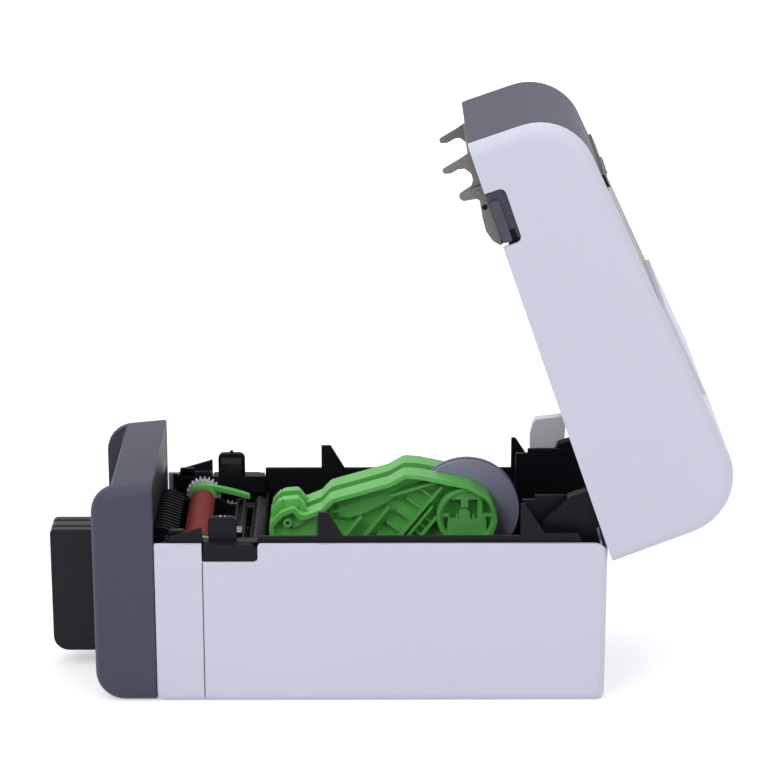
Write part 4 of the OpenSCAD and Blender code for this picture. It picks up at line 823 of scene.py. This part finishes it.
@dataclass
class RearPanel:
    """Contacts in the sockets and the marks on the power switch.

    Attributes:
        network_pins: contacts of the network socket.
        pin_w: width of a contact.
        pin_step: distance from one to the next.
        pin_section: its section, as distances behind the socket's mouth and under its top.
        usb_x: places of the data socket's contacts, from its middle.
        usb_half: half width of such a contact.
        usb_y: its rear and front ends, as distances behind the socket's mouth.
        usb_z: its two faces above the socket's middle.
        bar: lowest and highest corners of the bar, from the rocker's middle.
        ring_x: place of the ring's centre, from the rocker's middle.
        ring_r: inner and outer radius of the ring.
        mark_t: thickness of the rocker's marks.
        mark_sunk: how far they are let into the rocker.
        ray_from: how far behind the rocker the rays start that find its face.
    """

    network_pins: int = 8
    pin_w: float = 0.45
    pin_step: float = 1.02
    pin_section: tuple[tuple[float, float], ...] = (
        (14.6, 1.5), (14.6, 4.6), (13.8, 4.6), (3.2, 1.7), (3.2, 1.4))
    usb_x: tuple[float, ...] = (-1.65, -0.55, 0.55, 1.65)
    usb_half: float = 0.3
    usb_y: tuple[float, float] = (9.0, 3.4)
    usb_z: tuple[float, float] = (0.3, 0.42)
    bar: tuple[tuple[float, float], ...] = ((4.2, -1.6), (4.8, 1.6))
    ring_x: float = -4.5
    ring_r: tuple[float, float] = (1.25, 1.75)
    mark_t: float = 0.2
    mark_sunk: float = 0.12
    ray_from: float = 20.0

    def contacts(self) -> None:
        """Lays the contacts of the network socket side by side, each a strip bent up towards the mouth."""
        lo, hi = node_box("network_port")
        middle = (lo[0] + hi[0]) / 2
        section = hi[1:] - np.array(self.pin_section)
        strips = []
        for i in range(self.network_pins):
            x = middle + self.pin_step * (i - (self.network_pins - 1) / 2)
            strips.append(pad(section, Plane.YZ, x - self.pin_w / 2, x + self.pin_w / 2, chamfer=0.05))
        lay_grid("network_contacts", strips, Finish.GOLD, "base")

    def usb_contacts(self) -> None:
        """Lays the flat contacts of the data socket under its tongue."""
        lo, hi = node_box("usb_port")
        middle, _, high = (lo + hi) / 2
        rear, front = (hi[1] - back for back in self.usb_y)
        strips = []
        for x in middle + np.array(self.usb_x):
            strip = round_box((x - self.usb_half, rear), (x + self.usb_half, front), radius=0.1, steps=3)
            strips.append(pad(strip, Plane.XY, *(high + z for z in self.usb_z), chamfer=0.03))
        lay_grid("usb_contacts", strips, Finish.GOLD, "base")

    def switch_marks(self) -> None:
        """Puts the bar and the ring on the rocker: each point is carried along Y on to the rocker's face.

        Two rays towards the face, one at a mark's middle and one a millimetre beside it, give the face's
        place and its slope there, and a mark follows that line.
        """
        work = bmesh.new()
        work.from_mesh(frame["nodes"]["power_rocker"].data)
        faces = BVHTree.FromBMesh(work)
        work.free()
        lo, hi = node_box("power_rocker")
        middle, _, high = (lo + hi) / 2
        bar = round_box(*(np.add(corner, (middle, high)) for corner in self.bar), radius=0.2, steps=3)
        inner, outer = self.ring_r
        ring = np.array([(outer, 0), (outer, self.mark_t), (inner, self.mark_t), (inner, 0), (outer, 0)])
        grids = [pad(bar, Plane.XZ, 0.0, self.mark_t, chamfer=0.03),
                 lathe(ring, (middle + self.ring_x, 0, high), 1, 32)]
        for grid in grids:
            across, up = grid[:, :, 0].mean(), grid[:, :, 2].mean()
            y = hi[1] + self.ray_from
            starts = [((across + beside) * MM, y * MM, up * MM) for beside in (0, 1)]
            hits = [faces.ray_cast(start, (0, -1, 0))[0] for start in starts]
            if None not in hits:
                slope = (hits[1].y - hits[0].y) / MM
                grid[:, :, 1] += hits[0].y / MM - self.mark_sunk + slope * (grid[:, :, 0] - across)
        lay_grid("switch_marks", grids, Finish.MARK, body_of("power_rocker"))

    def build(self) -> None:
        """Dresses the rear panel."""
        self.contacts()
        self.usb_contacts()
        self.switch_marks()


def opened(grid: np.ndarray) -> np.ndarray:
    """Carries a grid that is drawn on the closed cover to where the open cover holds it.

    Each point turns about the hinge's axis by the cover's whole range, so that y and z become
    the hinge's place plus the turned distance from it.

    Args:
        grid: rows by columns by XYZ in millimetres.

    Returns:
        The grid in the open place.
    """
    joint = next(j for j in frame["record"]["behaviour"]["joints"] if j["name"] == "cover_hinge")
    hinge = np.array(joint["pos_m"]) / MM
    turn = -math.radians(COVER_RANGE)
    out = grid.copy()
    y, z = grid[:, :, 1] - hinge[1], grid[:, :, 2] - hinge[2]
    out[:, :, 1] = hinge[1] + math.cos(turn) * y - math.sin(turn) * z
    out[:, :, 2] = hinge[2] + math.sin(turn) * y + math.cos(turn) * z
    return out


@dataclass
class CoverFittings:
    """Small pieces of the cover: the latch's flanges, the hooks' plugs, the head's edge, the panel's ends.

    Attributes:
        latch_y: place of the latch's axis in the closed cover.
        part_z: height of the closed cover's rim.
        flange_x: distances of a flange's two faces from the middle.
        flange: outline of a flange, as distances behind the latch's axis and above the rim.
        plug_at: place of the hole in a hook, in the closed cover.
        plug: profile of a plug, as radii and distances from the middle.
        head_half: half the length of the head's lower edge, inside the hooks.
        head_y: front and rear of that edge in the closed cover.
        strips: underside and top of its strips, above the label comb, and what each wears.
        fill_len: how far the fillers beside the panel reach up the window's slope.
        fill_deep: depths of a filler's two faces under that slope.
        fill_lift: how far a filler starts above the panel's lower edge.
        fill_gap: gap at a filler's ends.
    """

    latch_y: float = -70.6
    part_z: float = 86.9
    flange_x: tuple[float, float] = (50.3, 50.8)
    # the step at the rear clears the frame's wall when the cover is closed
    flange: tuple[tuple[float, float], ...] = (
        (16.6, 0.3), (24.1, 0.3), (24.1, 3.4), (26.6, 3.6), (26.6, 9.6), (25.8, 10.4), (17.4, 10.4),
        (16.6, 9.6))
    plug_at: tuple[float, float] = (-62.2, 84.2)
    plug: tuple[tuple[float, float], ...] = (
        (0.0, 31.4), (2.0, 31.4), (2.2, 31.6), (2.2, 32.98), (1.38, 32.98), (1.38, 33.7), (1.1, 33.8),
        (0.0, 33.8))
    head_half: float = 32.6
    head_y: tuple[float, float] = (-90.9, -87.4)
    strips: tuple[tuple[float, float, Finish], ...] = (
        (84.7, 85.3, Finish.HOOK_STEEL), (85.4, 85.8, Finish.STEEL), (85.9, 86.5, Finish.HOOK_STEEL),
        (86.6, 90.2, Finish.GLOSS_BLACK))
    fill_len: float = 7.6
    fill_deep: tuple[float, float] = (0.9, 3.2)
    fill_lift: float = 0.4
    fill_gap: float = 0.05

    def flanges(self) -> None:
        """Makes the flanges on the latch's web, which close the slot in each recess."""
        outline = np.array(self.flange) + [self.latch_y, self.part_z]
        for side in Side:
            flange = pad(outline, Plane.YZ, *side.span(*self.flange_x), chamfer=0.1)
            lay_grid(f"latch_flange_{side.word}", [opened(flange)], Finish.BLACK, body_of("latch_hooks"))

    def plugs(self) -> None:
        """Puts a black plug in the hole of each hook: a turned pin with a collar on the inner side."""
        for side in Side:
            profile = np.array(self.plug) * [1, side.value]
            pin = lathe(profile, (0, *self.plug_at), 0, 28)
            lay_grid(f"hook_plug_{side.word}", [opened(pin)], Finish.BLACK, body_of("latch_hooks"))

    def panel_ends(self) -> None:
        """Fills the ends of the panel's slot: a block beside each end, its top a little under the panel's."""
        lo, hi = node_box("control_panel")
        window_lo, window_hi = node_box("cover_window")
        fall = np.array([window_hi[1] - window_lo[1], window_lo[2] - window_hi[2]])
        fall = fall / np.linalg.norm(fall)
        inward = np.array([fall[1], -fall[0]])
        low = np.array([hi[1], lo[2] + self.fill_lift])
        high = low - fall * self.fill_len
        face, back = (inward * deep for deep in self.fill_deep)
        outline = np.array([low + face, high + face, high + back, low + back])
        inner, outer = hi[0] + self.fill_gap, window_hi[0] - self.fill_gap
        ends = [pad(outline, Plane.YZ, *side.span(inner, outer), chamfer=0.1) for side in Side]
        lay_grid("panel_ends", ends, Finish.GLOSS_BLACK, "cover")

    def head_edge(self) -> None:
        """Lays the strips of the head's lower edge over each other, a flat outline of each carried across."""
        for i, (low, high, finish) in enumerate(self.strips):
            outline = round_box((self.head_y[0], low), (self.head_y[1], high), radius=0.15, steps=3)
            strip = pad(outline, Plane.YZ, -self.head_half, self.head_half, chamfer=0.12)
            lay_grid(f"head_strip_{i + 1}", [opened(strip)], finish, "cover")

    def build(self) -> None:
        """Makes the cover's fittings."""
        self.head_edge()
        self.flanges()
        self.plugs()
        self.panel_ends()


@dataclass
class Polisher:
    """Dresses the CAD nodes: each gets its finish, and a copy with soft edges stands for it.

    Attributes:
        edge: width of the rounding along an edge, by node, in millimetres.
        plain: edge of the nodes that aren't named.
        crease: angle above which an edge is rounded or stays sharp, in degrees.
        clamped: nodes whose close ribs leave room for a narrow rounding only.
        sharp: nodes with fine teeth or clear parts, whose edges stay sharp.
        trims: by node, the block that is lowered: its distance from the middle, front, rear and new height.
        weld: points closer than this are merged, in metres.
        flat: angle under which neighbouring faces become one, in degrees.
    """

    edge: dict[str, float] = field(default_factory=lambda: {
        "lower_casing": 0.5, "front_casing": 0.5, "bezel": 0.5, "front_module": 0.6, "cover_shell": 0.3,
        "cover_nose": 0.4, "inner_frame": 0.3, "cover_window": 0.2, "print_head": 0.2, "roll_arm_near": 0.25,
        "roll_arm_far": 0.25, "latch_blocks": 0.4,
    })
    plain: float = 0.12
    crease: float = 32.0
    clamped: tuple[str, ...] = ("roll_arm_near", "roll_arm_far", "latch_hooks")
    sharp: tuple[str, ...] = ("platen_gear", "idler_gear", "motor_pinion", "rack_pinion", "status_lens")
    trims: dict[str, tuple[float, float, float, float]] = field(
        default_factory=lambda: {"inner_frame": (50.0, -92.0, -74.9, 89.4)})
    weld: float = 2e-6
    flat: float = 0.6

    def polish(self, name: str, finish: Finish) -> None:
        """Makes the soft-edged copy of one node.

        Args:
            name: the node.
            finish: the finish that it wears.
        """
        node = frame["nodes"][name]
        copy = add_object(name + "_soft", node.data.copy())
        work = bmesh.new()
        work.from_mesh(copy.data)
        bmesh.ops.remove_doubles(work, verts=work.verts, dist=self.weld)
        flat = math.radians(self.flat)
        bmesh.ops.dissolve_limit(work, angle_limit=flat, verts=work.verts, edges=work.edges)
        if name in self.trims:
            across, front, rear, top = (v * MM for v in self.trims[name])
            for vert in work.verts:
                if abs(vert.co.x) > across and front < vert.co.y < rear:
                    vert.co.z = min(vert.co.z, top)
            bmesh.ops.remove_doubles(work, verts=work.verts, dist=self.weld)
            bmesh.ops.dissolve_degenerate(work, dist=self.weld, edges=work.edges)
        work.to_mesh(copy.data)
        work.free()
        copy.data.shade_smooth()
        copy.data.set_sharp_from_angle(angle=math.radians(self.crease))
        if name not in self.sharp:
            bevel = copy.modifiers.new("edge", "BEVEL")
            bevel.width = self.edge.get(name, self.plain) * MM
            bevel.segments = 2
            bevel.limit_method = "ANGLE"
            bevel.angle_limit = math.radians(self.crease)
            bevel.use_clamp_overlap = name in self.clamped
            bevel.harden_normals = True
            bevel.miter_outer = "MITER_ARC"
        wear(copy, finish)
        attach(copy, node["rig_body"])
        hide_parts(name)

    def build(self) -> None:
        """Dresses every node."""
        for finish, names in NODE_FINISH.items():
            for name in names.split():
                wear(frame["nodes"][name], finish)
                self.polish(name, finish)
                log.info("%s wears %s", name, finish.value.name)


@dataclass
class Studio:
    """Pale floor, soft lamps and the camera at the photograph's place.

    Attributes:
        camera_at: place of the camera, in metres.
        pitch: how far the camera looks down, in radians.
        yaw: how far it is turned from looking along -X, in radians.
        roll: how far it leans, in radians.
        lens: focal length on a 36 mm sensor.
        floor_half: half the floor's edge, in metres.
        floor_lift: light that the floor adds towards the camera, near the printer and far from it.
        floor_fade: distances between which that light grows, in metres.
        lamp_aim: the point that the lamps face, in metres.
    """

    camera_at: tuple[float, float, float] = (1.36191, 0.012, 0.591577)
    pitch: float = 0.3138
    yaw: float = 0.0066
    roll: float = 0.0009
    lens: float = 127.63
    floor_half: float = 3.0
    floor_lift: tuple[float, float] = (0.45, 1.0)
    floor_fade: tuple[float, float] = (0.5, 2.0)
    lamp_aim: tuple[float, float, float] = (0.0, 0.0, 0.1)

    def camera(self) -> None:
        """Sets the camera from its place and angles."""
        data = bpy.data.cameras.new("camera")
        data.lens = self.lens
        data.sensor_width = 36.0
        data.clip_end = 20.0
        cam = add_object("camera", data)
        cam.location = self.camera_at
        cam.rotation_mode = "XYZ"
        cam.rotation_euler = (math.pi / 2 - self.pitch, -self.roll, math.pi / 2 - self.yaw)
        bpy.context.scene.camera = cam

    def floor(self) -> None:
        """Adds the floor: pale to the light, and lifted to white for the camera where no shadow falls."""
        h = self.floor_half
        mesh = bpy.data.meshes.new("floor")
        mesh.from_pydata([(-h, -h, 0), (h, -h, 0), (h, h, 0), (-h, h, 0)], [], [(0, 1, 2, 3)])
        obj = add_object("floor", mesh)
        recipe = Recipe("pale_floor")
        nodes, links, shader = recipe.nodes, recipe.links, recipe.shader
        shader.inputs["Base Color"].default_value = (0.86, 0.86, 0.87, 1)
        shader.inputs["Roughness"].default_value = 0.8
        shader.inputs["Specular IOR Level"].default_value = 0.1
        far = nodes.new("ShaderNodeVectorMath")
        far.operation = "LENGTH"
        links.new(recipe.place, far.inputs[0])
        fade = nodes.new("ShaderNodeMapRange")
        limits = ("From Min", "From Max", "To Min", "To Max")
        for limit, value in zip(limits, (*self.floor_fade, *self.floor_lift)):
            fade.inputs[limit].default_value = value
        links.new(far.outputs["Value"], fade.inputs["Value"])
        gain = nodes.new("ShaderNodeMath")
        gain.operation = "MULTIPLY"
        links.new(background_rays(nodes, links), gain.inputs[0])
        links.new(fade.outputs[0], gain.inputs[1])
        lift = nodes.new("ShaderNodeEmission")
        links.new(gain.outputs[0], lift.inputs["Strength"])
        both = nodes.new("ShaderNodeAddShader")
        links.new(shader.outputs[0], both.inputs[0])
        links.new(lift.outputs[0], both.inputs[1])
        links.new(both.outputs[0], nodes["Material Output"].inputs["Surface"])
        obj.data.materials.append(recipe.mat)

    def lamp(self, name: str, at: tuple[float, float, float], size: float, power: float) -> None:
        """Adds a soft square lamp that faces the printer.

        Args:
            name: the lamp's name.
            at: its place, in metres.
            size: its edge, in metres.
            power: its power, in watts.
        """
        data = bpy.data.lights.new(name, "AREA")
        data.energy = power
        data.size = size
        lamp = add_object(name, data)
        lamp.location = at
        aim = np.array(self.lamp_aim) - np.array(at)
        flat = math.hypot(aim[0], aim[1])
        lamp.rotation_euler = (math.atan2(flat, -aim[2]), 0.0, math.atan2(aim[1], aim[0]) - math.pi / 2)

    def world(self) -> None:
        """Lights the scene from all round, with a white backdrop for the camera and in reflections."""
        world = bpy.data.worlds.new("world")
        world.use_nodes = True
        nodes, links = world.node_tree.nodes, world.node_tree.links
        nodes["Background"].inputs["Color"].default_value = (0.86, 0.87, 0.9, 1)
        nodes["Background"].inputs["Strength"].default_value = 0.5
        plain = nodes.new("ShaderNodeBackground")
        plain.inputs["Color"].default_value = (1, 1, 1, 1)
        plain.inputs["Strength"].default_value = 1.0
        mix = nodes.new("ShaderNodeMixShader")
        links.new(background_rays(nodes, links), mix.inputs[0])
        links.new(nodes["Background"].outputs[0], mix.inputs[1])
        links.new(plain.outputs[0], mix.inputs[2])
        links.new(mix.outputs[0], nodes["World Output"].inputs["Surface"])
        bpy.context.scene.world = world

    def build(self) -> None:
        """Sets up the whole studio."""
        self.camera()
        self.floor()
        self.lamp("key_lamp", (1.1, -0.9, 1.5), size=1.2, power=14.5)
        self.lamp("fill_lamp", (1.0, 1.3, 0.9), size=1.2, power=7.0)
        self.lamp("top_lamp", (-0.4, 0.1, 1.8), size=1.4, power=9.5)
        self.world()
        bpy.context.scene.view_settings.view_transform = "Standard"


def main() -> None:
    """Builds the printer's looks in order."""
    logging.basicConfig(level=logging.INFO, format="%(message)s")
    Studio().build()
    Polisher().build()
    for part in (PlatenSet(), LatchPosts(), FrameRails(), Screws(), SensorMarks(), RearPanel(),
                 CoverFittings()):
        part.build()


if __name__ == "__main__":
    main()
